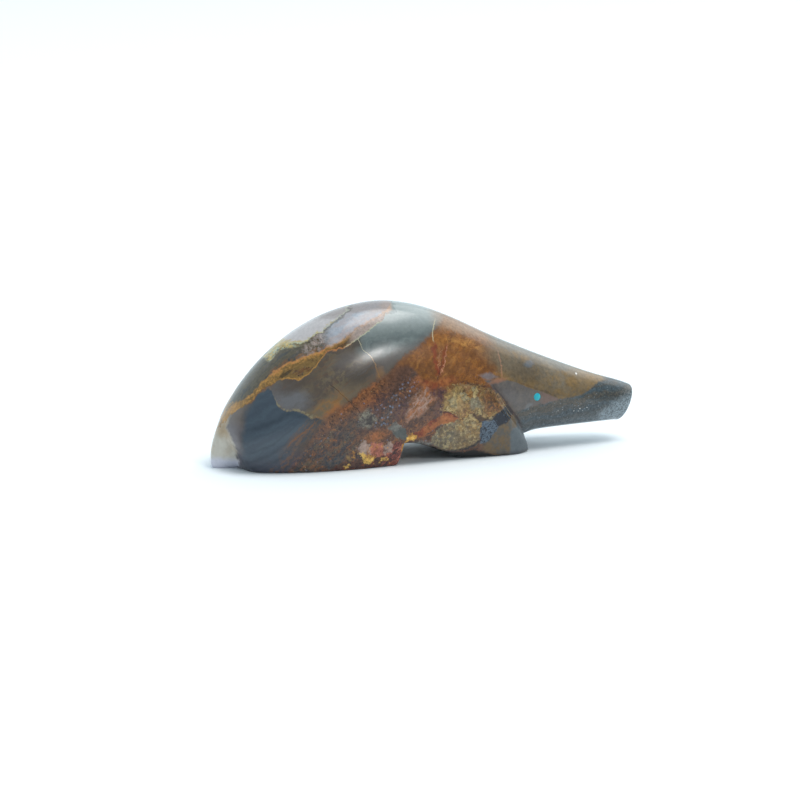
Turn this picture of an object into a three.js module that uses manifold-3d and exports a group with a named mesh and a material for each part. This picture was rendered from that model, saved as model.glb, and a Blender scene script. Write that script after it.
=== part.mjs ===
import * as THREE from 'three';
import { mergeVertices } from 'three/addons/utils/BufferGeometryUtils.js';
import Module from 'manifold-3d';

// A small anteater carved from one pebble of banded stone, with two inlaid round eyes.
// Millimetres. X runs from the tail to the snout, Y across, Z up. The carving stands on a
// hind sole and a front sole at Z = 0, and both sides are alike about the plane Y = 0.

// Driving dimensions of the blank: its stations, from the snout to the tail. Each one is a
// cross-section on a straight line in the middle plane, from a point of the ground, floor,
// to a point of the back, [X, Z]. half is the widest half width and girth the share of the
// line at which it lies; sole is the half width at the ground; round says how much the
// underside is an ellipse, as on the head; rim is the rounding of the lower edge.
const STATIONS = [
  // name, floor, back, half, girth, sole, round, rim
  ['snout rim', 81.1, [86.5, 10.95], 3.75, 0.64, 3.0, 1, 0.5],
  ['snout', 80.2, [84.3, 11.9], 4.0, 0.62, 3.1, 1, 0.5],
  ['muzzle', 77.3, [79.6, 13.25], 4.5, 0.6, 3.4, 1, 0.5],
  ['nose bridge', 73.2, [73.7, 15.5], 5.2, 0.56, 4.2, 1, 0.5],
  ['eyes', 69.0, [67.0, 18.2], 6.2, 0.52, 5.2, 1, 0.5],
  ['cheek', 66.0, [60.0, 21.2], 7.3, 0.45, 6.2, 0.9, 0.5],
  ['neck', 64.0, [54.8, 23.65], 8.3, 0.38, 7.1, 0.5, 0.5],
  ['shoulder', 61.5, [50.6, 25.85], 8.9, 0.33, 7.8, 0, 0.5],
  ['front foot', 57.5, [47.3, 27.35], 9.3, 0.3, 8.5, 0, 0.8],
  ['front heel', 52.0, [44.2, 28.65], 9.7, 0.28, 8.3, 0, 1.1],
  ['belly', 46.0, [41.0, 29.7], 10.1, 0.26, 8.3, 0, 1.2],
  ['arch', 40.5, [37.2, 30.5], 10.5, 0.25, 8.8, 0, 0.9],
  ['knee', 35.5, [33.0, 30.85], 10.9, 0.25, 9.5, 0, 0.5],
  ['thigh', 30.0, [27.6, 30.15], 11.4, 0.25, 10.4, 0, 0.4],
  ['haunch', 24.0, [21.3, 28.3], 11.6, 0.25, 10.7, 0, 0.35],
  ['rump', 17.5, [14.8, 24.5], 11.3, 0.27, 10.4, 0, 0.35],
  ['hip', 12.0, [9.35, 19.75], 10.3, 0.28, 9.3, 0, 0.35],
  ['tail root', 8.4, [5.0, 14.35], 9.0, 0.31, 8.0, 0, 0.35],
  ['tail', 6.6, [1.85, 9.05], 7.6, 0.33, 6.6, 0, 0.35],
  ['tail tip', 5.7, [0, 4.45], 5.6, 0.33, 5.0, 0, 0.3],
  ['tail heel', 5.3, [-0.2, 0.5], 3.2, 0.33, 3.1, 0, 0.1],
  ['tail sole', 5.2, [0.3, 0], 2.6, 0.33, 2.6, 0, 0],
].map(([name, floor, back, half, girth, sole, round, rim]) => (
  { name, floor, back, half, girth, sole, round, rim }
));

// What is cut away below, as heights over floor points: an arch between the hind foot and
// the belly, steep behind and easy in front, and the space under the head in front of the
// toe, from the throat to the chin at the snout.
const ARCH = { start: 34.7, slope: 3, top: 36.3, end: 51, height: 4.4, soft: 0.12 };
const HEAD = {
  toe: 62.75, throat: 63.15, throatHeight: 3.2, chin: 81, chinHeight: 3.95, fullness: 2.3,
};
const SNOUT_END = { bulge: 1.1, power: 2.4 };

// The tail is a narrow blade behind the haunches: the crease runs up the side as [Z, X],
// the blade keeps this share of the width, the haunch rises over `rise` ahead of it, and the
// crease fades out between the heights low and top.
const TAIL = {
  crease: [[0, 4.7], [2.6, 4.2], [6, 2.4], [9.5, 2.2], [13, 3.2]],
  share: 0.5, rise: 1.7, low: 4, top: 12.5,
};

// The groove between cheek and shoulder runs from the throat up the side, as [X, Z]. Depth
// and slimming are shares of the width: the cheek stands back from the shoulder. Along the
// line, with 0 at the throat and 1 at the end, it comes up over `grow` and dies over `fade`.
const CHEEK = {
  throat: [61.8, 3.6], end: [53.0, 14.6], depth: 0.07, width: 0.6, slim: 0.12, reach: 9,
  grow: [-0.6, -0.1], fade: [0.15, 1],
};

// The round inlaid eyes: place on the side as [X, Z], plug and socket.
const EYE = {
  at: [64.3, 11.0], diameter: 1.5, depth: 1.2, crown: 0.12, gap: 0.05, sides: 20, crownSteps: 3,
};

// How finely the carving is faceted, and how close two sections or two corners may be.
const FACETS = {
  perStation: 3, perCut: 7, snoutEnd: 4, underside: 3, lowerSide: 6, upperSide: 11,
  nearestSections: 1e-3, weld: 1e-4,
};
const HALVINGS = 40;
const CREASE_POINTS = 40;
const OUTSIDE = -1000;

const STONE = { color: 0x5c534b, roughness: 0.25, metalness: 0 };
const TURQUOISE = { color: 0x45bccb, roughness: 0.4, metalness: 0 };

const { lerp, clamp, smoothstep } = THREE.MathUtils;
const spread = (from, to, steps) => Array.from({ length: steps + 1 }, (_, k) => lerp(from, to, k / steps));

// A measure of the blank at t, which counts stations from the snout: the blend of four
// neighbours that a uniform cubic B-spline gives. The row of stations goes on in a straight
// line past both ends, so that the blend starts and ends on the end stations.
function measure(t, read) {
  const last = STATIONS.length - 1;
  const first = Math.min(Math.floor(t), last - 1);
  const f = t - first;
  const weights = [(1 - f) ** 3, 3 * f ** 3 - 6 * f ** 2 + 4, -3 * f ** 3 + 3 * f ** 2 + 3 * f + 1, f ** 3];
  const value = (k) => {
    if (k < 0) return 2 * read(STATIONS[0]) - read(STATIONS[1]);
    if (k > last) return 2 * read(STATIONS[last]) - read(STATIONS[last - 1]);
    return read(STATIONS[k]);
  };
  return weights.reduce((sum, weight, k) => sum + weight * value(first + k - 1), 0) / 6;
}

const floorAt = (t) => measure(t, (station) => station.floor);

// The t whose section line stands on the floor point x, found by halving.
function stationOver(x) {
  let [near, far] = [0, STATIONS.length - 1];
  for (let step = 0; step < HALVINGS; step += 1) {
    const middle = (near + far) / 2;
    if (floorAt(middle) > x) near = middle;
    else far = middle;
  }
  return (near + far) / 2;
}

// How high the underside is cut away over a floor point: the softened lower one of the
// arch's two slopes, or the toe's rounded front running up to the throat and the chin.
function cutHeight(x) {
  if (x > HEAD.toe) {
    const front = clamp((x - HEAD.toe) / (HEAD.throat - HEAD.toe), 0, 1);
    const along = clamp((x - HEAD.throat) / (HEAD.chin - HEAD.throat), 0, 1);
    return lerp(HEAD.throatHeight, HEAD.chinHeight, along) * (1 - Math.sqrt(1 - front * front));
  }
  if (x < ARCH.start || x > ARCH.end) return 0;
  const steep = ARCH.slope * (x - ARCH.start);
  const down = clamp((x - ARCH.top) / (ARCH.end - ARCH.top), 0, 1);
  const easy = (ARCH.height * (1 + Math.cos(Math.PI * down))) / 2;
  const softened = -ARCH.soft * Math.log(Math.exp(-steep / ARCH.soft) + Math.exp(-easy / ARCH.soft));
  return Math.max(0, softened);
}

// The tail's share of the full width at a point of the side view.
const creaseCurve = new THREE.SplineCurve(TAIL.crease.map(([z, x]) => new THREE.Vector2(z, x)));
const tailCrease = creaseCurve.getPoints(CREASE_POINTS);

function tailShare(x, z) {
  const next = Math.max(1, tailCrease.findIndex((point) => point.x > z));
  const [below, above] = [tailCrease[next - 1], tailCrease[next]];
  const creaseX = lerp(below.y, above.y, clamp((z - below.x) / (above.x - below.x), 0, 1));
  const ahead = clamp((x - creaseX) / TAIL.rise, 0, 1);
  const strength = 1 - smoothstep(z, TAIL.low, TAIL.top);
  return 1 - strength * (1 - TAIL.share) * (1 - ahead) ** 2;
}

// The cheek groove's share: a narrow cut along the line, and the cheek set back ahead of it.
function cheekShare(x, z) {
  const throat = new THREE.Vector2(...CHEEK.throat);
  const line = new THREE.Vector2(...CHEEK.end).sub(throat);
  const point = new THREE.Vector2(x, z).sub(throat);
  const along = point.dot(line) / line.lengthSq();
  const ahead = line.cross(point) / -line.length();
  const strength = (1 - smoothstep(along, ...CHEEK.fade)) * smoothstep(along, ...CHEEK.grow);
  const cut = CHEEK.depth * Math.exp(-((ahead / CHEEK.width) ** 2));
  const step = smoothstep(ahead, -CHEEK.width, CHEEK.width) * (1 - smoothstep(ahead, 0, CHEEK.reach));
  return 1 - strength * (cut + CHEEK.slim * step);
}

// Half of a cross-section, from the middle of the underside up one side to the back, as
// [X, half width, Z]. Above the girth the side is an ellipse. Below it the body's side
// narrows to the sole and has its lower edge rounded, and the head's is a full ellipse.
function halfSection(t) {
  const floor = new THREE.Vector2(floorAt(t), 0);
  const back = new THREE.Vector2(measure(t, (at) => at.back[0]), measure(t, (at) => at.back[1]));
  const [half, girth, sole] = ['half', 'girth', 'sole'].map((key) => measure(t, (at) => at[key]));
  const [round, rim] = ['round', 'rim'].map((key) => measure(t, (at) => at[key]));
  const length = floor.distanceTo(back);
  const cut = cutHeight(floor.x) / Math.max(back.y, 1);

  const lowerWidth = (height) => {
    const fall = clamp((girth - height) / girth, 0, 1);
    const inset = rim - Math.min((height - cut) * length, rim);
    const body = lerp(half, sole, fall * fall) - (rim - Math.sqrt(rim * rim - inset * inset));
    const share = clamp((girth - height) / (girth - cut), 0, 1);
    const head = half * (1 - share ** HEAD.fullness) ** (1 / HEAD.fullness);
    return lerp(body, head, round);
  };

  const outline = spread(0, 1, FACETS.underside).map((share) => [cut, share * lowerWidth(cut)]);
  for (const turn of spread(0, Math.PI / 2, FACETS.lowerSide).slice(1)) {
    const height = lerp(cut, girth, 1 - Math.cos(turn));
    outline.push([height, lowerWidth(height)]);
  }
  for (const turn of spread(0, Math.PI / 2, FACETS.upperSide).slice(1)) {
    outline.push([lerp(girth, 1, Math.sin(turn)), half * Math.cos(turn)]);
  }
  return outline.map(([height, width]) => {
    const { x, y: z } = new THREE.Vector2().lerpVectors(floor, back, height);
    return [x, width * tailShare(x, z) * cheekShare(x, z), z];
  });
}

// Where the sections stand: evenly between the stations, and closer along the steep cuts.
function sectionPlaces() {
  const last = STATIONS.length - 1;
  const even = spread(0, last, last * FACETS.perStation);
  const steep = spread(ARCH.start, ARCH.top + ARCH.soft * 3, FACETS.perCut);
  const front = spread(0, Math.PI / 2, FACETS.perCut)
    .map((turn) => lerp(HEAD.toe, HEAD.throat, Math.sin(turn)));
  const places = [...even, ...[...steep, ...front].map(stationOver)].sort((a, b) => a - b);
  return places.filter((t, k) => k === 0 || t - places[k - 1] > FACETS.nearestSections);
}

// The blunt end of the snout: copies of the first half section that shrink to its middle
// and move outward as a flattened quarter circle.
function snoutEnd(rim) {
  const [low, high] = [rim[0], rim.at(-1)];
  const middle = new THREE.Vector2((low[0] + high[0]) / 2, (low[2] + high[2]) / 2);
  const outward = new THREE.Vector2(high[2] - low[2], low[0] - high[0]).normalize();
  return spread(Math.PI / 2, 0, FACETS.snoutEnd).slice(0, -1).map((turn) => {
    const scale = Math.cos(turn) ** (2 / SNOUT_END.power);
    const out = SNOUT_END.bulge * Math.sin(turn) ** (2 / SNOUT_END.power);
    return rim.map(([x, width, z]) => [
      lerp(middle.x, x, scale) + outward.x * out,
      width * scale,
      lerp(middle.y, z, scale) + outward.y * out,
    ]);
  });
}

// The closed skin of the carving: full rings around each section, joined by two triangles
// to a cell. The flat tail sole closes the last ring with rungs from side to side.
function carvingGeometry() {
  const sections = sectionPlaces().map(halfSection);
  sections.unshift(...snoutEnd(sections[0]));
  const positions = [];
  const indices = [];
  const count = 2 * (sections[0].length - 1);
  for (const section of sections) {
    for (const [x, width, z] of section) positions.push(x, -width, z);
    for (const [x, width, z] of section.slice(1, -1).reverse()) positions.push(x, width, z);
  }
  for (let ring = 0; ring < sections.length - 1; ring += 1) {
    for (let k = 0; k < count; k += 1) {
      const [a, b] = [ring * count + k, ring * count + ((k + 1) % count)];
      indices.push(a, b, a + count, b, b + count, a + count);
    }
  }
  const sole = (sections.length - 1) * count;
  for (let k = 0; k < count / 2; k += 1) {
    const [a, b] = [sole + k, sole + k + 1];
    const [c, d] = [sole + count - k - 1, sole + ((count - k) % count)];
    indices.push(a, b, c, a, c, d);
  }
  const geometry = new THREE.BufferGeometry();
  geometry.setAttribute('position', new THREE.Float32BufferAttribute(positions, 3));
  geometry.setIndex(indices);
  return mergeVertices(geometry, FACETS.weld);
}

// Where a line across the body through [X, Z] meets the near side, and which way that faces.
function sidePoint(geometry, [x, z]) {
  const mesh = new THREE.Mesh(geometry, new THREE.MeshBasicMaterial({ side: THREE.DoubleSide }));
  const start = new THREE.Vector3(x, OUTSIDE, z);
  const hit = new THREE.Raycaster(start, new THREE.Vector3(0, 1, 0)).intersectObject(mesh)[0];
  return { point: hit.point, facing: hit.face.normal.clone() };
}

// A round plug or drill with its crown on the carving's surface: turned about its own axis,
// then swung so that the axis points the way the surface faces.
function inlayGeometry(radius, depth, crown, { point, facing }) {
  const dome = spread(0, Math.PI / 2, EYE.crownSteps).slice(0, -1)
    .map((turn) => [radius * Math.cos(turn), crown * Math.sin(turn)]);
  const profile = [[0, -depth], [radius, -depth], ...dome, [0, crown]]
    .map(([across, up]) => new THREE.Vector2(across, up));
  const turn = new THREE.Quaternion().setFromUnitVectors(new THREE.Vector3(0, 1, 0), facing);
  const geometry = new THREE.LatheGeometry(profile, EYE.sides);
  return geometry.applyQuaternion(turn).translate(point.x, point.y, point.z);
}

function mirrored({ point, facing }) {
  const across = new THREE.Vector3(1, -1, 1);
  return { point: point.clone().multiply(across), facing: facing.clone().multiply(across) };
}

// Solids for the boolean cut, from geometry with its shared vertices merged, and back.
function toSolid(wasm, geometry) {
  geometry.deleteAttribute('normal');
  geometry.deleteAttribute('uv');
  const merged = mergeVertices(geometry, FACETS.weld);
  return new wasm.Manifold(new wasm.Mesh({
    numProp: 3,
    vertProperties: Float32Array.from(merged.attributes.position.array),
    triVerts: Uint32Array.from(merged.index.array),
  }));
}

function toGeometry(solid) {
  const { vertProperties, triVerts } = solid.getMesh();
  const geometry = new THREE.BufferGeometry();
  geometry.setAttribute('position', new THREE.BufferAttribute(vertProperties, 3));
  geometry.setIndex(new THREE.BufferAttribute(triVerts, 1));
  geometry.computeVertexNormals();
  return geometry;
}

function addPiece(group, name, geometry, finish) {
  const mesh = new THREE.Mesh(geometry, new THREE.MeshStandardMaterial(finish));
  mesh.name = name;
  group.add(mesh);
}

const wasm = await Module();
wasm.setup();

const skin = carvingGeometry();
const nearEye = sidePoint(skin, EYE.at);
const eyes = { eye_right: nearEye, eye_left: mirrored(nearEye) };

let carving = toSolid(wasm, skin);
for (const place of Object.values(eyes)) {
  const drill = inlayGeometry(EYE.diameter / 2 + EYE.gap, EYE.depth + EYE.gap, EYE.diameter, place);
  carving = carving.subtract(toSolid(wasm, drill));
}

const anteater = new THREE.Group();
addPiece(anteater, 'carving', toGeometry(carving), STONE);
for (const [name, place] of Object.entries(eyes)) {
  addPiece(anteater, name, inlayGeometry(EYE.diameter / 2, EYE.depth, EYE.crown, place), TURQUOISE);
}

// The origin is on the ground under the middle of the carving's box.
const middle = new THREE.Box3().setFromObject(anteater).getCenter(new THREE.Vector3());
anteater.position.set(-middle.x, 0, 0);

export default anteater;
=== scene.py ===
import math
from functools import partial, reduce

import bpy
import bmesh
import numpy as np
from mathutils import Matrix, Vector


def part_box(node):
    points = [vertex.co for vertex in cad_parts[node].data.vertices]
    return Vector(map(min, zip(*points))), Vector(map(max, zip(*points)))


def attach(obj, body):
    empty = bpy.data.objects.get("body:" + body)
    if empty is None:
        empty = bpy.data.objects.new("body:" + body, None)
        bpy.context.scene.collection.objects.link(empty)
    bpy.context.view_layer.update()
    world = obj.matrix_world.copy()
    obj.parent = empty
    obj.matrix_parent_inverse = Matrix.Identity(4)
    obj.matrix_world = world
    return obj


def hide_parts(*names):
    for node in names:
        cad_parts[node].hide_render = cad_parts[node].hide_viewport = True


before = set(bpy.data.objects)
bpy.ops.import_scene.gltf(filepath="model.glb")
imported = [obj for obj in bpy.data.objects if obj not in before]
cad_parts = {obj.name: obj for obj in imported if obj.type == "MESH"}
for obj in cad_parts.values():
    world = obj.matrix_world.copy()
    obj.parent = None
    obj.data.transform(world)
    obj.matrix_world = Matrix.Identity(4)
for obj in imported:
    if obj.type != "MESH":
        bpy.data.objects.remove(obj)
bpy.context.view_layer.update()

print("stage 1: the carving's frame is loaded")

# A small polished anteater in banded stone with round turquoise eyes. Shapes are worked out in
# millimetres from the tail's foot, X to the snout, and put into the frame's metres at the end.
millimetre = 0.001


# The carved body. Each station is a cross-section on a straight line in the middle plane, from
# a point of the ground to a point of the back; both sides are alike.
carvingShape = {
    # ground x, back x, back z, widest half width, its share of the line, sole half width,
    # how round the underside is, rounding of the lower edge
    "stations": {
        "snout rim": (81.1, 86.5, 10.95, 3.75, 0.64, 3.0, 1, 0.5),
        "snout": (80.2, 84.3, 11.9, 4.0, 0.62, 3.1, 1, 0.5),
        "muzzle": (77.3, 79.6, 13.25, 4.5, 0.6, 3.4, 1, 0.5),
        "nose bridge": (73.2, 73.7, 15.5, 5.2, 0.56, 4.2, 1, 0.5),
        "eyes": (69.0, 67.0, 18.2, 6.2, 0.52, 5.2, 1, 0.5),
        "cheek": (66.0, 60.0, 21.2, 7.3, 0.45, 6.2, 0.9, 0.5),
        "neck": (64.0, 54.8, 23.65, 8.3, 0.38, 7.1, 0.5, 0.5),
        "shoulder": (61.5, 50.6, 25.85, 8.9, 0.33, 7.8, 0, 0.5),
        "front foot": (57.5, 47.3, 27.35, 9.3, 0.3, 8.5, 0, 0.8),
        "front heel": (52.0, 44.2, 28.65, 9.7, 0.28, 8.3, 0, 1.1),
        "belly": (46.0, 41.0, 29.7, 10.1, 0.26, 8.3, 0, 1.2),
        "arch": (40.5, 37.2, 30.5, 10.5, 0.25, 8.8, 0, 0.9),
        "knee": (35.5, 33.0, 30.85, 10.9, 0.25, 9.5, 0, 0.5),
        "thigh": (30.0, 27.6, 30.15, 11.4, 0.25, 10.4, 0, 0.4),
        "haunch": (24.0, 21.3, 28.3, 11.6, 0.25, 10.7, 0, 0.35),
        "rump": (17.5, 14.8, 24.5, 11.3, 0.27, 10.4, 0, 0.35),
        "hip": (12.0, 9.35, 19.75, 10.3, 0.28, 9.3, 0, 0.35),
        "tail root": (8.4, 5.0, 14.35, 9.0, 0.31, 8.0, 0, 0.35),
        "tail": (6.6, 1.85, 9.05, 7.6, 0.33, 6.6, 0, 0.35),
        "tail tip": (5.7, 0, 4.45, 5.6, 0.33, 5.0, 0, 0.3),
        "tail heel": (5.3, -0.2, 0.5, 3.2, 0.33, 3.1, 0, 0.1),
        "tail sole": (5.2, 0.3, 0, 2.6, 0.33, 2.6, 0, 0),
    },
    "arch": {"start": 34.6, "slope": 3, "top": 36.3, "end": 51, "height": 4.4, "soft": 0.12,
             "footSoft": 0.5, "footReach": 0.8, "topReach": 0.5},
    "toe": 62.75, "throat": 63.15, "throatHeight": 3.2, "chin": 81, "chinHeight": 3.95,
    "headFullness": 2.3,
    "snoutBulge": 1.1, "snoutPower": 2.4,
    "tailCrease": [(0, 4.7), (2.6, 4.2), (6, 2.4), (9.5, 2.2), (13, 3.2)],  # z, x
    "tailShare": 0.5, "tailRise": 1.7, "tailLow": 4, "tailTop": 12.5,
    "cheekThroat": (61.8, 3.6), "cheekEnd": (53.0, 14.6),
    "cheekDepth": 0.07, "cheekWidth": 0.6, "cheekSlim": 0.12, "cheekReach": 9,
    "cheekGrow": (-0.6, -0.1), "cheekFade": (0.15, 1),
    "ringsPerStation": 18, "ringsPerCut": 24, "ringsSnout": 14,
    "searchSteps": 4001, "leastStep": 0.001,  # along the body, in stations
    "pointsUnder": 12, "pointsLower": 36, "pointsUpper": 56,
    "sharpAngle": 40,
}

eyeShape = {
    "side": (64.3, 11.0),  # x and z of the eye on the side
    "diameter": 1.5, "depth": 1.2, "crown": 0.14, "rounding": 0.07, "clearance": 0.03,
    "turnPoints": 64, "crownPoints": 12, "rimPoints": 5,
    "outside": 0.1,  # metres from the middle plane, where the search for the skin starts
}


def smoothStep(low, high, value):
    # 3s^2 - 2s^3 of the share s that value has gone from low to high, kept between 0 and 1
    share = np.clip((value - low) / (high - low), 0, 1)
    return share * share * (3 - 2 * share)


def blendStations(column, places):
    # uniform cubic B-spline: each place takes (1-f)^3, 3f^3-6f^2+4, -3f^3+3f^2+3f+1 and f^3
    # sixths of the four stations round it; the row goes on straight past both ends
    row = np.asarray(column, float)
    row = np.concatenate([[2 * row[0] - row[1]], row, [2 * row[-1] - row[-2]]])
    first = np.minimum(np.floor(places).astype(int), len(row) - 4)
    f = places - first
    weights = [(1 - f) ** 3, 3 * f**3 - 6 * f**2 + 4, -3 * f**3 + 3 * f**2 + 3 * f + 1, f**3]
    return sum(weight * row[first + step] for step, weight in enumerate(weights)) / 6


def cutHeight(c, x):
    # height cut away below: the softened lower one of the arch's steep and easy slopes, with the
    # steep one's foot rounded as soft * log(1 + e^(rise / soft)), and in front of the toe a
    # quarter circle up to a straight line from the throat to the chin
    arch = c["arch"]
    steep = arch["slope"] * (x - arch["start"])
    steep = arch["footSoft"] * np.logaddexp(0, steep / arch["footSoft"])
    down = np.clip((x - arch["top"]) / (arch["end"] - arch["top"]), 0, 1)
    easy = arch["height"] * (1 + np.cos(np.pi * down)) / 2
    lower = -arch["soft"] * np.logaddexp(-steep / arch["soft"], -easy / arch["soft"])
    archCut = np.where(x < arch["start"] - arch["footReach"], 0, np.maximum(0, lower))
    front = np.clip((x - c["toe"]) / (c["throat"] - c["toe"]), 0, 1)
    along = np.clip((x - c["throat"]) / (c["chin"] - c["throat"]), 0, 1)
    headLine = c["throatHeight"] + (c["chinHeight"] - c["throatHeight"]) * along
    return np.where(x < c["toe"], archCut, headLine * (1 - np.sqrt(1 - front**2)))


def sectionPlaces(c):
    # evenly between the stations, and closer along the arch's steep side and the toe's front
    last = len(c["stations"]) - 1
    groundX = [station[0] for station in c["stations"].values()]
    fine = np.linspace(0, last, c["searchSteps"])
    fineX = blendStations(groundX, fine)
    turn = np.linspace(0, np.pi / 2, c["ringsPerCut"] + 1)
    foot, top = c["arch"]["start"] - c["arch"]["footReach"], c["arch"]["top"] + c["arch"]["topReach"]
    steep = np.linspace(foot, top, c["ringsPerCut"] * 3 // 2 + 1)
    toe = c["toe"] + (c["throat"] - c["toe"]) * np.sin(turn)
    close = np.interp(-np.concatenate([steep, toe]), -fineX, fine)
    places = np.unique(np.concatenate([np.linspace(0, last, last * c["ringsPerStation"] + 1), close]))
    return places[np.concatenate([[True], np.diff(places) > c["leastStep"]])]


def sideShares(c, x, z):
    # share of the full width left at a point of the side view: the tail is a blade behind its
    # crease, and the cheek stands back from the shoulder behind a narrow groove
    creaseZ, creaseX = zip(*c["tailCrease"])
    ahead = np.clip((x - np.interp(z, creaseZ, creaseX)) / c["tailRise"], 0, 1)
    tail = (1 - c["tailShare"]) * (1 - ahead) ** 2 * smoothStep(c["tailTop"], c["tailLow"], z)
    (startX, startZ), (endX, endZ) = c["cheekThroat"], c["cheekEnd"]
    stepX, stepZ = endX - startX, endZ - startZ
    length = math.hypot(stepX, stepZ)
    along = ((x - startX) * stepX + (z - startZ) * stepZ) / length**2
    across = ((x - startX) * stepZ - (z - startZ) * stepX) / length
    strength = smoothStep(*c["cheekFade"][::-1], along) * smoothStep(*c["cheekGrow"], along)
    groove = c["cheekDepth"] * np.exp(-((across / c["cheekWidth"]) ** 2))
    setBack = smoothStep(-c["cheekWidth"], c["cheekWidth"], across)
    setBack = c["cheekSlim"] * setBack * smoothStep(c["cheekReach"], 0, across)
    return (1 - tail) * (1 - strength * (groove + setBack))


def sectionWidth(c, height, cut, length, measures):
    # half width over the share height of a section line: a quarter ellipse above the girth;
    # below it the side narrows as a parabola with a rounded edge, or as the head's full ellipse
    half, girth, sole, roundness, rim = measures
    fall = np.clip((girth - height) / girth, 0, 1)
    inset = rim - np.clip((height - cut) * length, 0, rim)
    body = sole + (half - sole) * (1 - fall**2) - (rim - np.sqrt(np.maximum(rim**2 - inset**2, 0)))
    share = np.clip((girth - height) / (girth - cut), 0, 1)
    head = half * (1 - share ** c["headFullness"]) ** (1 / c["headFullness"])
    upper = half * np.sqrt(np.clip(1 - ((height - girth) / (1 - girth)) ** 2, 0, 1))
    return np.where(height <= girth, body + (head - body) * roundness, upper)


def carvingSurface(c):
    # rows of rings: along the body by station place, and round it from the middle of the
    # underside up the near side to the back and down the far side; millimetres
    places = sectionPlaces(c)
    columns = [blendStations(column, places) for column in zip(*c["stations"].values())]
    groundX, backX, backZ, half, girth, sole, roundness, rim = [column[:, None] for column in columns]
    length = np.hypot(backX - groundX, backZ)
    cut = cutHeight(c, groundX) / np.maximum(backZ, 1)
    lowerTurn = np.linspace(0, np.pi / 2, c["pointsLower"] + 1)
    upperTurn = np.linspace(0, np.pi / 2, c["pointsUpper"] + 1)[1:]
    height = np.concatenate([
        cut + (girth - cut) * (1 - np.cos(lowerTurn)),
        girth + (1 - girth) * np.sin(upperTurn),
    ], axis=1)
    width = sectionWidth(c, height, cut, length, (half, girth, sole, roundness, rim))
    width[:, -1] = 0
    across = np.linspace(0, 1, c["pointsUnder"] + 1)[:-1]
    height = np.concatenate([np.repeat(height[:, :1], c["pointsUnder"], 1), height], axis=1)
    width = np.concatenate([width[:, :1] * across, width], axis=1)
    x = groundX + (backX - groundX) * height
    z = backZ * height
    width = width * sideShares(c, x, z)
    x, width, z = snoutEnd(c, x, width, z)
    near = np.stack([x, -width, z], axis=2)
    far = np.stack([x, width, z], axis=2)[:, -2:0:-1]
    return np.concatenate([near, far], axis=1)


def snoutEnd(c, x, width, z):
    # the blunt end: copies of the first ring that shrink by cos^(2/p) to its middle and move
    # outward by sin^(2/p) times the bulge, a flattened quarter circle
    middle = np.array([x[0, 0] + x[0, -1], z[0, 0] + z[0, -1]]) / 2
    line = np.array([x[0, -1] - x[0, 0], z[0, -1] - z[0, 0]])
    outX, outZ = np.array([line[1], -line[0]]) / np.hypot(*line)
    turn = np.linspace(np.pi / 2, 0, c["ringsSnout"] + 1)[:-1, None]
    scale = np.clip(np.cos(turn), 0, 1) ** (2 / c["snoutPower"])
    out = c["snoutBulge"] * np.sin(turn) ** (2 / c["snoutPower"])
    endX = middle[0] + (x[0] - middle[0]) * scale + outX * out
    endZ = middle[1] + (z[0] - middle[1]) * scale + outZ * out
    return (
        np.concatenate([endX, x]), np.concatenate([width[0] * scale, width]),
        np.concatenate([endZ, z]),
    )


def ringFaces(rings, around):
    # four corners to a cell between each ring and the next, round the closed ring
    first = np.arange(rings - 1)[:, None] * around + np.arange(around)
    second = np.arange(rings - 1)[:, None] * around + (np.arange(around) + 1) % around
    return np.stack([first, second, second + around, first + around], axis=2).reshape(-1, 4)


def soleFaces(rings, around):
    # rungs from side to side that close the last ring
    last = (rings - 1) * around
    step = np.arange(around // 2)
    farA, farB = (around - step) % around, around - step - 1
    return np.stack([step, step + 1, farB, farA], axis=1) + last


def makePiece(name, points, faces, mergeDistance=1e-6):
    # a closed mesh from corner and face arrays: doubles merged, flat slivers gone, faces outward
    mesh = bpy.data.meshes.new(name)
    mesh.from_pydata(points.tolist(), [], faces.tolist())
    work = bmesh.new()
    work.from_mesh(mesh)
    bmesh.ops.remove_doubles(work, verts=work.verts, dist=mergeDistance)
    bmesh.ops.dissolve_degenerate(work, edges=work.edges, dist=mergeDistance)
    bmesh.ops.recalc_face_normals(work, faces=work.faces)
    work.to_mesh(mesh)
    work.free()
    piece = bpy.data.objects.new(name, mesh)
    bpy.context.scene.collection.objects.link(piece)
    return piece


def makeTurned(name, profile, around, centre, facing):
    # a profile of (radius, height) pairs turned round the facing axis through the centre
    turn = np.linspace(0, 2 * np.pi, around, endpoint=False)
    radius, height = np.asarray(profile, float).T
    rings = np.stack([
        radius[:, None] * np.cos(turn), radius[:, None] * np.sin(turn),
        np.repeat(height[:, None], around, axis=1),
    ], axis=2)
    swing = Vector((0, 0, 1)).rotation_difference(Vector(facing)).to_matrix()
    points = rings.reshape(-1, 3) @ np.array(swing).T + np.asarray(centre)
    return makePiece(name, points, ringFaces(len(profile), around))


def plugProfile(e, radius):
    # from the middle of the crown out along a shallow dome, round the rim as a quarter circle,
    # down the wall and back to the axis
    rounding = e["rounding"]
    crown = np.linspace(0, 1, e["crownPoints"] + 1)[:-1]
    dome = np.stack([(radius - rounding) * crown, e["crown"] - e["crown"] * crown**2], axis=1)
    turn = np.linspace(0, np.pi / 2, e["rimPoints"] + 1)
    rim = np.stack([
        radius - rounding + rounding * np.sin(turn), rounding * (np.cos(turn) - 1),
    ], axis=1)
    wall = np.array([[radius, -e["depth"]], [0, -e["depth"]]])
    return np.concatenate([dome, rim, wall]) * millimetre


def drillProfile(e, radius):
    # a cylinder as deep as the plug that stands out a whole eye above the skin
    above = e["diameter"]
    return np.array([[0, above], [radius, above], [radius, -e["depth"]], [0, -e["depth"]]]) * millimetre


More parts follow.
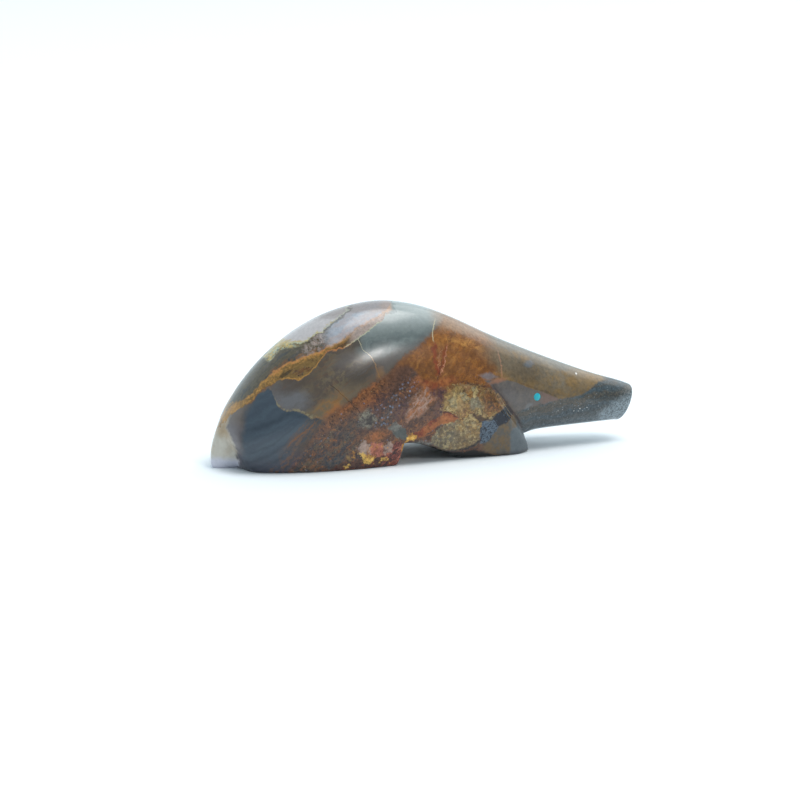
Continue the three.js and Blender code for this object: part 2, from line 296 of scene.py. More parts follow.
def cutSockets(carving, drills):
    # one boolean cut for all sockets, then its result replaces the mesh
    for drill in drills:
        cut = carving.modifiers.new("socket", "BOOLEAN")
        cut.operation, cut.solver, cut.object = "DIFFERENCE", "EXACT", drill
    depsgraph = bpy.context.evaluated_depsgraph_get()
    result = bpy.data.meshes.new_from_object(carving.evaluated_get(depsgraph))
    carving.modifiers.clear()
    carving.data = result
    for drill in drills:
        bpy.data.objects.remove(drill)


def finishSurface(piece, angle):
    # smooth shading but for edges sharper than the angle in degrees
    piece.data.shade_smooth()
    piece.data.set_sharp_from_angle(angle=math.radians(angle))


def makeCarving(c):
    # the surface stretched and shifted so that its box is the frame's box of the carving
    surface = carvingSurface(c)
    rings, around = surface.shape[:2]
    points = surface.reshape(-1, 3) * millimetre
    low, high = [np.array(corner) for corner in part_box("carving")]
    size = points.max(0) - points.min(0)
    stretch = (high - low) / size
    shift = low - points.min(0) * stretch
    faces = np.concatenate([ringFaces(rings, around), soleFaces(rings, around)])
    carving = makePiece("anteater_body", points * stretch + shift, faces)
    print("stage 2: the body has", rings, "rings of", around, "points")
    return carving, stretch, shift


carving, stretch, shift = makeCarving(carvingShape)
tailFootX = float(shift[0])  # where the tail's foot, x = 0 above, lies in the frame

eyes = {}
drills = []
for name, side in (("eye_right", -1), ("eye_left", 1)):
    sideX, sideZ = eyeShape["side"]
    start = Vector((tailFootX + sideX * millimetre, side * eyeShape["outside"], sideZ * millimetre))
    centre, facing = carving.ray_cast(start, Vector((0, -side, 0)))[1:3]
    radius, around = eyeShape["diameter"] / 2, eyeShape["turnPoints"]
    plug = plugProfile(eyeShape, radius)
    eyes[name] = makeTurned(name + "_plug", plug, around, centre, facing)
    drill = drillProfile(eyeShape, radius + eyeShape["clearance"])
    drills.append(makeTurned(name + "_drill", drill, around, centre, facing))
cutSockets(carving, drills)
for piece in (carving, *eyes.values()):
    finishSurface(piece, carvingShape["sharpAngle"])
print("stage 3: both eyes are set in their sockets")


# The camera: round towards the tail and a little above, with the tail's foot at its place in
# the picture, which is 800 pixels square.
photoView = {
    "turn": 18, "rise": 12,  # degrees
    "distance": 520, "pixelsPerMillimetre": 5.2,
    "tailFootPixel": (211.3, 467.3), "picture": 800, "sensor": 36,
    "clip": (0.05, 50),  # metres
}


def makeCamera(v):
    # off the tail's foot by its place in the picture, then back along the view by the distance
    turn, rise = math.radians(v["turn"]), math.radians(v["rise"])
    forward = Vector((math.sin(turn) * math.cos(rise), math.cos(turn) * math.cos(rise), -math.sin(rise)))
    right = Vector((math.cos(turn), -math.sin(turn), 0))
    up = right.cross(forward)
    offX, offY = [(pixel - v["picture"] / 2) / v["pixelsPerMillimetre"] for pixel in v["tailFootPixel"]]
    foot = Vector((tailFootX, 0, 0))
    data = bpy.data.cameras.new("studio_camera")
    data.sensor_width = v["sensor"]
    data.lens = v["distance"] * v["pixelsPerMillimetre"] * v["sensor"] / v["picture"]
    data.clip_start, data.clip_end = v["clip"]
    camera = bpy.data.objects.new("studio_camera", data)
    camera.location = foot + (up * offY - right * offX - forward * v["distance"]) * millimetre
    camera.rotation_euler = forward.to_track_quat("-Z", "Y").to_euler()
    bpy.context.scene.collection.objects.link(camera)
    bpy.context.scene.camera = camera


makeCamera(photoView)
print("stage 4: the camera stands at the photo's angle")


# Building nodes: a socket given as a value is wired, anything else is typed in.
class NodeBench:
    def __init__(self, tree):
        self.tree = tree

    def put(self, socket, value):
        if isinstance(value, bpy.types.NodeSocket):
            self.tree.links.new(value, socket)
        else:
            socket.default_value = value

    def add(self, kind, values=None, **settings):
        node = self.tree.nodes.new("ShaderNode" + kind)
        for key, value in settings.items():
            setattr(node, key, value)
        for key, value in (values or {}).items():
            self.put(node.inputs[key], value)
        return node

    def math(self, operation, *values):
        return self.add("Math", dict(enumerate(values)), operation=operation).outputs[0]

    def vector(self, operation, *values):
        node = self.add("VectorMath", operation=operation)
        for socket, value in zip(node.inputs, values):
            self.put(socket, value)
        return node.outputs["Value" if operation in ("DOT_PRODUCT", "LENGTH", "DISTANCE") else "Vector"]

    def scaled(self, vector, factor):
        values = {0: vector, "Scale": factor}
        return self.add("VectorMath", values, operation="SCALE").outputs["Vector"]

    def centred(self, colour, reach):
        # a noise colour as a shift, from half the reach back to half the reach on
        return self.scaled(self.vector("SUBTRACT", colour, (0.5, 0.5, 0.5)), reach)

    def fade(self, value, low, high, start=0, end=1):
        # a smooth mask that goes from start to end as the value goes from low to high
        node = self.add("MapRange", {
            "Value": value, "From Min": low, "From Max": high, "To Min": start, "To Max": end,
        }, interpolation_type="SMOOTHSTEP")
        return node.outputs["Result"]

    def noise(self, vector, scale, detail=2, roughness=0.5, distortion=0, colour=False):
        node = self.add("TexNoise", {
            "Vector": vector, "Scale": scale, "Detail": detail, "Roughness": roughness,
            "Distortion": distortion,
        })
        return node.outputs["Color" if colour else "Fac"]

    def cells(self, vector, scale, feature="F1"):
        return self.add("TexVoronoi", {"Vector": vector, "Scale": scale}, feature=feature).outputs

    def blend(self, factor, under, over):
        # sockets 6 and 7 are the two colours, output 2 the mixed one
        return self.add("Mix", {0: factor, 6: under, 7: over}, data_type="RGBA").outputs[2]

    def line(self, value, points, span):
        # the height of a drawn line over a place; both are shares of the span
        node = self.add("FloatCurve")
        curve = node.mapping.curves[0]
        shares = [(place / span[0], height / span[1]) for place, height in points]
        while len(curve.points) < len(shares):
            curve.points.new(0.5, 0.5)
        for point, share in zip(curve.points, shares):
            point.location = share
            point.handle_type = "AUTO_CLAMPED"
        node.mapping.update()
        self.put(node.inputs["Value"], self.math("DIVIDE", value, span[0]))
        return self.math("MULTIPLY", node.outputs["Value"], span[1])


def startMaterial(name, users):
    material = bpy.data.materials.new(name)
    material.use_nodes = True
    material.node_tree.nodes.clear()
    for piece in users:
        piece.data.materials.clear()
        piece.data.materials.append(material)
    return NodeBench(material.node_tree)


def finishMaterial(bench, shader):
    output = bench.add("OutputMaterial")
    bench.tree.links.new(shader.outputs["BSDF"], output.inputs["Surface"])


def makeGroup(name, inputs, outputs):
    tree = bpy.data.node_groups.new(name, "ShaderNodeTree")
    for label, kind in inputs.items():
        tree.interface.new_socket(label, in_out="INPUT", socket_type="NodeSocket" + kind)
    for label, kind in outputs.items():
        tree.interface.new_socket(label, in_out="OUTPUT", socket_type="NodeSocket" + kind)
    given, made = [tree.nodes.new("NodeGroup" + end) for end in ("Input", "Output")]
    return NodeBench(tree), given.outputs, made.inputs


def useGroup(bench, group, values):
    node = bench.tree.nodes.new("ShaderNodeGroup")
    node.node_tree = group
    for key, value in values.items():
        bench.put(node.inputs[key], value)
    return node.outputs


def linear(colour):
    # display values 0 to 255 as the light they stand for
    shares = [channel / 255 for channel in colour]
    return tuple(s / 12.92 if s <= 0.04045 else ((s + 0.055) / 1.055) ** 2.4 for s in shares) + (1,)


# Effects that both the stone and the turquoise use.
marks = {
    "hairlineWay": (0.25, 1, 1.6),  # the lower, the longer the hairlines that way
    "hairlineShare": 0.6, "middle": 0.8, "cloudDetail": 3, "hairlineNoise": (2, 0.6),
}
grainNoise = {"detail": 6, "roughness": 0.72, "darkest": 0.1}


def makePolishMarks():
    # what hand polishing leaves: cloudy gloss and hairlines along one direction
    bench, given, made = makeGroup("polish_marks", {
        "Vector": "Vector", "Cloud Scale": "Float", "Hairline Scale": "Float", "Strength": "Float",
    }, {"Roughness": "Float", "Height": "Float"})
    cloud = bench.noise(given["Vector"], given["Cloud Scale"], marks["cloudDetail"])
    drawn = bench.vector("MULTIPLY", given["Vector"], marks["hairlineWay"])
    hairline = bench.noise(drawn, given["Hairline Scale"], *marks["hairlineNoise"])
    both = bench.math("MULTIPLY_ADD", hairline, marks["hairlineShare"], cloud)
    centred = bench.math("SUBTRACT", both, marks["middle"])
    bench.put(made["Roughness"], bench.math("MULTIPLY", centred, given["Strength"]))
    bench.put(made["Height"], bench.math("MULTIPLY", both, given["Strength"]))
    return bench.tree


def makeFineGrain():
    # mottled grain, coarse and fine together, that darkens and lightens a colour round itself
    bench, given, made = makeGroup("fine_grain", {
        "Colour": "Color", "Vector": "Vector", "Scale": "Float", "Contrast": "Float",
    }, {"Colour": "Color"})
    coarse = bench.noise(given["Vector"], given["Scale"], grainNoise["detail"], grainNoise["roughness"])
    shade = bench.math("MULTIPLY", bench.math("SUBTRACT", coarse, 0.5), given["Contrast"])
    factor = bench.math("MAXIMUM", bench.math("ADD", shade, 1), grainNoise["darkest"])
    bench.put(made["Colour"], bench.scaled(given["Colour"], factor))
    return bench.tree


def makePatch():
    # an inclusion: an ellipse in the side view, given by its middle and its directions, already
    # divided by its half sizes; pointed makes it a lozenge, and a noise value makes it ragged
    bench, given, made = makeGroup("stone_patch", {
        "Vector": "Vector", "Middle": "Vector", "Along": "Vector", "Across": "Vector",
        "Edge": "Float", "Pointed": "Float", "Noise": "Float", "Ragged": "Float",
    }, {"Mask": "Float"})
    away = bench.vector("SUBTRACT", given["Vector"], given["Middle"])
    along, across = [bench.vector("DOT_PRODUCT", away, given[name]) for name in ("Along", "Across")]
    shares = bench.add("CombineXYZ", {"X": along, "Y": across}).outputs[0]
    rounded = bench.vector("LENGTH", shares)
    lozenge = bench.math("ADD", bench.math("ABSOLUTE", along), bench.math("ABSOLUTE", across))
    more = bench.math("MULTIPLY", bench.math("SUBTRACT", lozenge, rounded), given["Pointed"])
    shift = bench.math("MULTIPLY", bench.math("SUBTRACT", given["Noise"], 0.5), given["Ragged"])
    reach = bench.math("ADD", bench.math("ADD", rounded, more), shift)
    outer = bench.math("ADD", 1, given["Edge"])
    inner = bench.math("SUBTRACT", 1, given["Edge"])
    bench.put(made["Mask"], bench.fade(reach, inner, outer, 1, 0))
    return bench.tree


polishMarks = makePolishMarks()
fineGrain = makeFineGrain()
stonePatch = makePatch()
print("stage 5: the shared node groups are made")


def finishPolished(bench, place, colour, contrast, look):
    # grain in the colour, the marks of polishing in the gloss, and bumps where the look has them
    grained = useGroup(bench, fineGrain, {
        "Colour": colour, "Vector": place, "Scale": look["grainScale"], "Contrast": contrast,
    })
    polished = useGroup(bench, polishMarks, {
        "Vector": place, "Cloud Scale": look["cloudScale"], "Hairline Scale": look["hairlineScale"],
        "Strength": look["polish"],
    })
    values = {
        "Base Color": grained["Colour"], "IOR": look["refraction"],
        "Roughness": bench.math("ADD", polished["Roughness"], look["roughness"]),
    }
    if "bump" in look:
        height = polished["Height"]
        bump = bench.add("Bump", {"Height": height, "Distance": look["bump"], "Strength": 1})
        values["Normal"] = bump.outputs[0]
    finishMaterial(bench, bench.add("BsdfPrincipled", values))


# The stone. Tones are display values; places are x and z in millimetres in the side view.
stoneLook = {
    "depth": 1.0,  # how much light the tones give back; lower is darker
    "roughness": 0.2, "polish": 0.14, "bump": 0.00002, "refraction": 1.48,
    "span": (90, 32),  # millimetres that the drawn lines reach in x and z
    "edgeWarp": 1.0, "farWarp": 9, "farTilt": 0.3, "farStart": 0.5, "farShare": 0.25,
    "nearFade": (5, 2),  # y where the near side's fragments are gone, and where they are whole
    # noises as scale, detail and roughness
    "farNoise": (0.06, 2), "edgeNoise": (0.8, 5, 0.6), "jag": (1.3, 6, 0.7), "mottle": (1.7, 5, 0.68),
    "stain": (0.5, 7, 0.68), "cloud": (0.25, 3), "stainShift": (31, 7, 19), "cloudShift": (7, 3, 11),
    "layerNoise": (5, 0.62), "streakNoise": (6, 0.68), "speckRoughness": 0.6,  # no scale in these
    "hair": 0.000001, "grainScale": 1.4, "grainSmooth": 0.35, "grainGritty": 3.0,
    "cloudScale": 0.35, "hairlineScale": 3,
    "tones": {
        "tail": (196, 190, 178), "tailLilac": (206, 206, 220), "tailGold": (160, 134, 100),
        "veil": (112, 106, 108), "veilBrown": (106, 97, 92),
        "slate": (63, 73, 84), "slateTeal": (69, 81, 91), "slateDark": (48, 58, 68),
        "slatePlum": (64, 60, 72), "smokeBrown": (74, 62, 54), "lilac": (102, 101, 103),
        "fringe": (140, 128, 96), "umber": (80, 69, 61), "olive": (106, 93, 71),
        "ochre": (138, 98, 56), "sand": (110, 94, 74), "dusk": (66, 58, 51), "fog": (88, 82, 80),
        "teal": (106, 116, 115), "tealSheenPale": (134, 141, 139), "tealDark": (86, 95, 95),
        "gold": (172, 126, 64), "goldOlive": (120, 94, 54), "goldDark": (78, 62, 38),
        "orange": (190, 124, 72), "peach": (184, 150, 128), "cloud": (156, 140, 132),
        "bark": (112, 76, 48), "pit": (40, 34, 28), "stripDark": (86, 79, 64),
        "stripBrown": (158, 143, 136), "stripPale": (152, 160, 171), "topPale": (181, 176, 177),
        "topBrown": (142, 134, 132), "crust": (176, 178, 150), "crustGold": (184, 160, 98),
        "crustGreen": (150, 158, 138), "rust": (122, 76, 38), "rustDark": (82, 56, 44),
        "rustDeep": (106, 70, 50), "shoulder": (128, 78, 30), "shoulderDark": (98, 60, 26),
        "shoulderSheenGrey": (144, 116, 90), "ember": (156, 92, 48), "ash": (80, 74, 70),
        "speckDark": (40, 33, 34), "speckBlue": (112, 124, 146), "speckCream": (176, 152, 110),
        "pinkStone": (150, 104, 78), "pinkAsh": (156, 128, 114), "plum": (66, 44, 50),
        "greyGreen": (112, 112, 104), "greyGreenDark": (72, 76, 74), "swirl": (124, 122, 106),
        "wineDark": (56, 28, 30), "wineRed": (118, 58, 50), "creamPink": (158, 134, 122),
        "blush": (176, 104, 84), "yellow": (222, 178, 88), "amber": (196, 136, 50),
        "brickRed": (122, 54, 28), "brickDark": (86, 40, 30), "khaki": (122, 101, 72),
        "khakiGreen": (106, 97, 80), "khakiGold": (136, 108, 66), "breccia": (140, 113, 70),
        "brecciaPale": (170, 150, 104), "brecciaGrey": (122, 118, 98), "vein": (196, 160, 84),
        "seam": (58, 40, 30), "cocoa": (70, 48, 34), "blueGrey": (84, 98, 112),
        "blueBlack": (26, 30, 40), "bellyShade": (3, 3, 4), "foot": (104, 84, 58), "footGrey": (84, 78, 70),
        "toe": (88, 95, 99), "headOlive": (98, 85, 66), "headGold": (119, 94, 58),
        "headGrey": (116, 112, 102), "taupe": (98, 90, 83), "taupeRose": (112, 88, 78),
        "snout": (67, 79, 86), "snoutDark": (46, 54, 56), "snoutLight": (126, 137, 143),
        "sparkle": (225, 222, 216), "paleLine": (186, 176, 146), "crack": (44, 36, 32),
        "blushVein": (186, 128, 98), "tealSheenHigh": (158, 166, 165), "stripLilac": (162, 158, 162),
        "headDark": (80, 69, 54), "headRimSheen": (118, 121, 118), "shoulderPale": (170, 118, 56),
        "bellyGrey": (118, 124, 120), "snoutEndSheen": (146, 156, 161), "russet": (124, 80, 50),
    },
}


def farWarp(bench, look, place, y):
    # past the ridge the layers lean over and wander, so the far side differs
    depth = bench.math("MAXIMUM", bench.math("SUBTRACT", y, look["farStart"]), 0)
    wander = bench.centred(bench.noise(place, *look["farNoise"], colour=True), look["farWarp"])
    lean = bench.add("CombineXYZ", {"X": look["farTilt"], "Z": -look["farTilt"] / 2}).outputs[0]
    share = bench.math("MULTIPLY", depth, look["farShare"])
    shift = bench.vector("ADD", bench.scaled(wander, share), bench.scaled(lean, depth))
    return bench.vector("ADD", place, shift)


def stonePlace(bench, look):
    # what every zone reads: the place in millimetres, the same bent, and shared noises
    place = bench.scaled(bench.add("TexCoord").outputs["Object"], 1 / millimetre)
    place = bench.vector("SUBTRACT", place, (tailFootX / millimetre, 0, 0))
    y = bench.add("SeparateXYZ", {"Vector": place}).outputs["Y"]
    warped = farWarp(bench, look, place, y)
    nudge = bench.noise(warped, *look["edgeNoise"], colour=True)
    bent = bench.vector("ADD", warped, bench.centred(nudge, look["edgeWarp"]))
    return {
        "Place": place, "Bent Place": bent, "Near": bench.fade(y, *look["nearFade"]),
        "Jag": bench.noise(place, *look["jag"]), "Mottle": bench.noise(place, *look["mottle"]),
        "Stain": bench.noise(bench.vector("ADD", bent, look["stainShift"]), *look["stain"]),
        "Cloud": bench.noise(bench.vector("ADD", bent, look["cloudShift"]), *look["cloud"]),
    }


class StonePainter(NodeBench):
    # paints one zone over the colour so far, in listed lines and fragments
    def __init__(self, tree, given, look):
        super().__init__(tree)
        self.look, self.colour, self.grit = look, given["Colour"], given["Grit"]
        # every value hangs by a hair on the colour so far, so that the renderer works the
        # zones out one after another and never holds all their masks at once
        tie = self.vector("DOT_PRODUCT", self.colour, [look["hair"]] * 3)
        shift = self.add("CombineXYZ", {"X": tie}).outputs[0]
        self.true, self.at = [self.vector("ADD", given[name], shift) for name in ("Place", "Bent Place")]
        self.near = self.math("ADD", given["Near"], tie)
        split = self.add("SeparateXYZ", {"Vector": self.at}).outputs
        self.x, self.y, self.z = split["X"], split["Y"], split["Z"]
        self.jag, self.mottle, self.stain, self.cloud = [
            self.math("ADD", given[name], tie) for name in ("Jag", "Mottle", "Stain", "Cloud")
        ]

    def tone(self, name):
        *light, alpha = linear(self.look["tones"][name])
        return (*[share * self.look["depth"] for share in light], alpha)

    def mixTones(self, factor, first, second):
        return self.blend(factor, self.tone(first), self.tone(second))

    def mottled(self, first, second, spread=0.06):
        # two tones mingled grain by grain
        return self.mixTones(self.grain(0.5 - spread, 0.5 + spread), first, second)

    def stained(self, first, second, spread=0.06):
        # two tones mingled in larger stains
        return self.mixTones(self.fade(self.stain, 0.5 - spread, 0.5 + spread), first, second)

    def both(self, *masks):
        return reduce(partial(self.math, "MULTIPLY"), masks)

    def either(self, *masks):
        return reduce(partial(self.math, "MAXIMUM"), masks)

    def paint(self, masks, tone, strength=1, grit=None):
        # lays a tone, and how gritty it is, over what is there, inside all the masks
        mask = self.both(*masks) if isinstance(masks, list) else masks
        colour = self.tone(tone) if isinstance(tone, str) else tone
        if strength != 1:
            mask = self.math("MULTIPLY", mask, strength)
        self.colour = self.blend(mask, self.colour, colour)
        if grit is not None:
            step = self.math("SUBTRACT", grit, self.grit)
            self.grit = self.math("MULTIPLY_ADD", mask, step, self.grit)

    def coat(self, rows, zone=None, grit=None):
        # each row is a tone, its strength, a kind of mask and what that mask takes
        for tone, strength, mask, *form in rows:
            masks = [mask(*form)] if zone is None else [zone, mask(*form)]
            self.paint(masks, tone, strength, grit)

    def inX(self, low, high):
        return self.fade(self.x, low, high)

    def inZ(self, low, high):
        return self.fade(self.z, low, high)

    def grain(self, low, high):
        return self.fade(self.mottle, low, high)

    def height(self, points):
        # how far a point is above a line drawn as z over x, in millimetres
        return self.math("SUBTRACT", self.z, self.line(self.x, points, self.look["span"]))

    def aheadOf(self, points):
        # how far a point is ahead of a line drawn as x over z
        return self.math("SUBTRACT", self.x, self.line(self.z, points, self.look["span"][::-1]))

    def frayed(self, away, jag):
        return self.math("MULTIPLY_ADD", self.math("SUBTRACT", self.jag, 0.5), jag, away)

    def level(self, points, low, high):
        return self.fade(self.height(points), low, high)

    def above(self, points, soft=0.3, jag=0):
        return self.fade(self.frayed(self.height(points), jag), -soft, soft)

    def below(self, points, soft=0.3, jag=0):
        return self.above(points, -soft, jag)

    def ahead(self, points, soft=0.3, jag=0):
        return self.fade(self.frayed(self.aheadOf(points), jag), -soft, soft)

    def stroke(self, points, width, jag=0, upright=False, soft=0.6):
        # a thin line along the points, fading out past its two ends
        away = self.frayed(self.aheadOf(points) if upright else self.height(points), jag)
        ran = self.z if upright else self.x
        ends = [point[0] for point in points]
        mask = self.fade(self.math("ABSOLUTE", away), 0, width, 1, 0)
        return self.both(mask, self.fade(ran, min(ends) - soft, min(ends) + soft),
                         self.fade(ran, max(ends) + soft, max(ends) - soft))

    def vein(self, points, width, jag=0, upright=False):
        # a line on the near side alone
        return self.both(self.near, self.stroke(points, width, jag, upright))

    def patch(self, middle, size, turn=0, edge=0.25, ragged=0.6, pointed=0):
        angle = math.radians(turn)
        cosine, sine = math.cos(angle), math.sin(angle)
        mask = useGroup(self, stonePatch, {
            "Vector": self.at, "Middle": (middle[0], 0, middle[1]),
            "Along": (cosine / size[0], 0, sine / size[0]),
            "Across": (-sine / size[1], 0, cosine / size[1]),
            "Edge": edge, "Pointed": pointed, "Noise": self.jag, "Ragged": ragged,
        })["Mask"]
        return self.both(mask, self.near)

    def shard(self, corners, edge=0.15, ragged=0.6):
        # a straight-sided fragment: the least distance inside any of its sides
        sides = list(zip(corners, corners[1:] + corners[:1]))
        turns = sum(x0 * z1 - x1 * z0 for (x0, z0), (x1, z1) in sides)
        distances = []
        for (x0, z0), (x1, z1) in sides:
            length = math.copysign(math.hypot(x1 - x0, z1 - z0), turns)
            inwardX, inwardZ = (z0 - z1) / length, (x1 - x0) / length
            away = self.vector("DOT_PRODUCT", self.at, (inwardX, 0, inwardZ))
            distances.append(self.math("SUBTRACT", away, inwardX * x0 + inwardZ * z0))
        inside = reduce(partial(self.math, "MINIMUM"), distances)
        return self.both(self.fade(self.frayed(inside, ragged * 2), -edge, edge), self.near)

    def banding(self, turn, scale, wander, detail=3):
        # soft parallel bands across the direction given, bent by slow noise
        angle = math.radians(turn)
        across = (-math.sin(angle) * scale, 0.1 * scale, math.cos(angle) * scale)
        place = self.vector("DOT_PRODUCT", self.at, across)
        place = self.math("MULTIPLY_ADD", self.cloud, wander, place)
        return self.noise(self.add("CombineXYZ", {"X": place}).outputs[0], 1, detail=detail)

    def layers(self, points, scale, stretch):
        # thin layers that follow a line: noise over the height above it, drawn out along it
        along = self.math("DIVIDE", self.x, stretch)
        place = self.add("CombineXYZ", {"X": along, "Y": self.y, "Z": self.height(points)}).outputs[0]
        return self.noise(place, scale, *self.look["layerNoise"])

    def streaks(self, turn, scale, stretch, low, high):
        # flecks drawn out along one direction
        cosine, sine = math.cos(math.radians(turn)), math.sin(math.radians(turn))
        ways = ((cosine / stretch, 0, sine / stretch), (-sine, 0, cosine))
        along, across = [self.vector("DOT_PRODUCT", self.at, way) for way in ways]
        place = self.add("CombineXYZ", {"X": along, "Y": self.y, "Z": across}).outputs[0]
        return self.fade(self.noise(place, scale, *self.look["streakNoise"]), low, high)

    def speckle(self, scale, low, high, detail=3):
        return self.fade(self.noise(self.true, scale, detail, self.look["speckRoughness"]), low, high)

    def dots(self, scale, size, share):
        # scattered round specks, one in a share of the cells
        cells = self.cells(self.true, scale)
        chosen = self.add("SeparateColor", {"Color": cells["Color"]}).outputs["Red"]
        speck = self.fade(cells["Distance"], size * 0.5, size, 1, 0)
        return self.both(speck, self.math("LESS_THAN", chosen, share))

    def web(self, scale, width, detail=4):
        # a net of thin wandering seams where noise passes its middle
        value = self.noise(self.true, scale, detail, self.look["speckRoughness"])
        return self.fade(self.math("ABSOLUTE", self.math("SUBTRACT", value, 0.5)), 0, width, 1, 0)


def raised(points, rise):
    return [(x, z + rise) for x, z in points]


# Where rust and flank meet, and where the shoulder ends below and above.
diagonalLine = [
    (12.4, 0), (13.2, 1.5), (14.4, 5.5), (17, 8.5), (20, 10.7), (22.6, 12.3), (25.5, 13.9), (27, 15.3),
    (28.4, 16.1), (30.1, 17.1), (32.9, 18.3), (35.2, 20.2), (37.8, 21.6), (40.1, 23), (42.4, 24.4),
    (45, 26.2), (50, 29),
]
shoulderLow = [(30, 20), (37, 19.4), (40, 16.2), (44, 14.6), (54, 14), (90, 12)]
shoulderTop = [(40, 24.8), (46, 24.2), (50, 23), (60, 19.4)]


def paintGround(p):
    # the clouded middle of the flank: lilac-grey, umber and olive, drawn upwards to the right
    p.colour = p.mixTones(p.fade(p.banding(30, 0.4, 3), 0.4, 0.6), "umber", "olive")
    p.coat([
        ("umber", 0.5, p.fade, p.cloud, 0.45, 0.65),
        ("lilac", 1, p.patch, (12.6, 14.6), (4.2, 2.4), -10, 0.5, 0.7),
        ("umber", 0.9, p.patch, (15.5, 17.4), (5, 1.2), 20, 0.7, 0.7),
        (p.stained("olive", "umber"), 0.9, p.patch, (22.5, 18), (4.6, 2), 28, 0.6, 0.8),
        ("sand", 0.8, p.patch, (26, 16.4), (4, 1.4), 28, 0.7, 0.8),
        ("dusk", 0.9, p.patch, (29, 19), (5.4, 1.7), 25, 0.7, 0.6),
        ("fog", 0.8, p.patch, (24.6, 21.4), (3.4, 1.1), 22, 0.7, 0.6),
        (p.stained("ochre", "olive", 0.08), 0.9, p.patch, (20.4, 12.8), (3.4, 1.7), 38, 0.6, 1),
        ("ember", 0.5, p.patch, (21.4, 11.9), (2.2, 0.8), 30, 0.6, 1.2),
        ("fog", 0.3, p.streaks, 32, 1.2, 7, 0.5, 0.62),
        ("bark", 0.25, p.streaks, 30, 1, 6, 0.54, 0.62),
    ])


def paintUpperFlank(p):
    # teal grey-green under the ridge, in soft folds; paler towards the ridge, partly milky stone and partly
    # painted sheen
    teal = p.both(p.above(diagonalLine, 0.8), p.inX(25.5, 29), p.inZ(20, 23))
    bands = p.banding(16, 0.5, 4, 4)
    p.paint(teal, p.mixTones(p.fade(bands, 0.4, 0.62), "teal", "tealDark"), 0.95)
    # painted sheen: paler teal tones laid on by height towards the ridge, partly milky haze
    p.paint([teal, p.inZ(24.2, 27.2)], "tealSheenPale", 0.8)
    p.paint([teal, p.inZ(26, 29)], "tealSheenHigh", 0.9)
    p.paint([teal, p.fade(bands, 0.52, 0.6), p.inZ(24, 26)], "teal", 0.5)
    p.coat([
        ("fog", 0.7, p.patch, (33.5, 20.6), (4.5, 1.2), 30, 0.7, 0.6),
        ("dusk", 0.7, p.patch, (26.9, 24.1), (1.3, 0.9), 40, 0.5, 0.5, 0.6),
        ("fog", 0.7, p.patch, (39.6, 22.4), (4, 1.2), 35, 0.8, 0.6),
        ("smokeBrown", 0.6, p.patch, (36, 20.2), (4.6, 0.8), 36, 0.8, 0.8),
        ("ochre", 0.5, p.patch, (31, 18.3), (0.8, 1.2), 0, 0.7, 1),
    ])


def paintRust(p):
    # the rusty lower right of the body, gritty, and darker below on the left
    under = p.below(diagonalLine, 0.8, jag=1.8)
    p.paint(under, p.stained("rustDeep", "rustDark", 0.1), grit=0.7)
    p.coat([
        ("ash", 0.5, p.streaks, 42, 0.6, 3, 0.5, 0.6),
        ("russet", 0.8, p.streaks, 44, 0.9, 4, 0.46, 0.38),
        (p.mottled("russet", "shoulderDark"), 0.8, p.stroke, raised(diagonalLine[4:14], -1), 2.2, 3),
        ("ember", 0.5, p.stroke, raised(diagonalLine[5:10], -0.4), 0.8, 2),
    ], under)
    low = p.both(under, p.level(raised(diagonalLine, -2), 0, -2), p.inX(30, 24))
    p.paint(low, p.stained("smokeBrown", "rustDark", 0.1), 0.85, grit=0.4)
    p.coat([
        ("slateDark", 0.6, p.streaks, 46, 0.6, 4, 0.5, 0.56),
        ("olive", 0.5, p.streaks, 48, 0.9, 5, 0.47, 0.42),
        ("russet", 0.8, p.streaks, 42, 1.3, 5, 0.46, 0.4),
    ], low)
    p.coat([
        ("rustDark", 0.8, p.patch, (35.6, 18.2), (4.4, 1.7), 38, 0.6, 1.2),
        ("plum", 0.5, p.patch, (30.6, 12.6), (1.6, 2.4), -50, 0.6, 1.4),
        ("ember", 0.5, p.patch, (27.6, 12.6), (2.6, 1), 42, 0.7, 1.4),
        ("smokeBrown", 0.6, p.patch, (25.4, 9.2), (3.4, 1.2), 45, 0.7, 1.2),
        ("ash", 0.5, p.patch, (33, 10.2), (1.4, 2.2), -35, 0.6, 1.4),
        ("ember", 0.5, p.patch, (38.6, 16.4), (2, 1), 40, 0.6, 1.4),
    ])
    paintShoulder(p, under)
    p.coat([
        ("speckDark", 0.7, p.grain, 0.54, 0.62),
        ("rust", 0.6, p.grain, 0.45, 0.38),
        ("ember", 0.6, p.grain, 0.4, 0.34),
        ("speckDark", 0.5, p.speckle, 3.4, 0.56, 0.62),
        ("speckBlue", 0.45, p.dots, 1.5, 0.32, 0.16),
        ("speckCream", 0.4, p.dots, 1.9, 0.3, 0.12),
    ], p.both(under, p.inZ(18, 14.5)))
    p.paint([under, p.web(0.55, 0.014), p.inZ(21, 17)], "speckDark", 0.5)
    paintRustFragments(p)


def paintShoulder(p, under):
    # golden brown and smoother, with a greyer edge along the ridge that is painted sheen
    shoulder = p.both(under, p.level(shoulderLow, -0.8, 1))
    p.paint(shoulder, p.stained("shoulder", "rust"), grit=0.45)
    p.coat([
        ("shoulderDark", 0.7, p.streaks, 42, 0.5, 2.5, 0.47, 0.62),
        ("shoulderPale", 0.35, p.streaks, 44, 0.9, 5, 0.48, 0.36),
    ], shoulder)
    bright = p.stroke([(45, 23.2), (49.5, 22.4), (53, 21.2)], 1.5, 3, soft=1.5)
    p.paint([bright, p.near, p.streaks(42, 1, 3, 0.42, 0.54)], "shoulderPale", 0.8)
    # painted sheen: a greyer, paler tone along the shoulder's edge by the ridge
    grey = p.fade(p.frayed(p.height(shoulderTop), 3), 0.1, 1.7)
    p.paint([grey, p.inX(42, 46.5), p.inX(60, 52)], "shoulderSheenGrey", 0.8, grit=0.3)


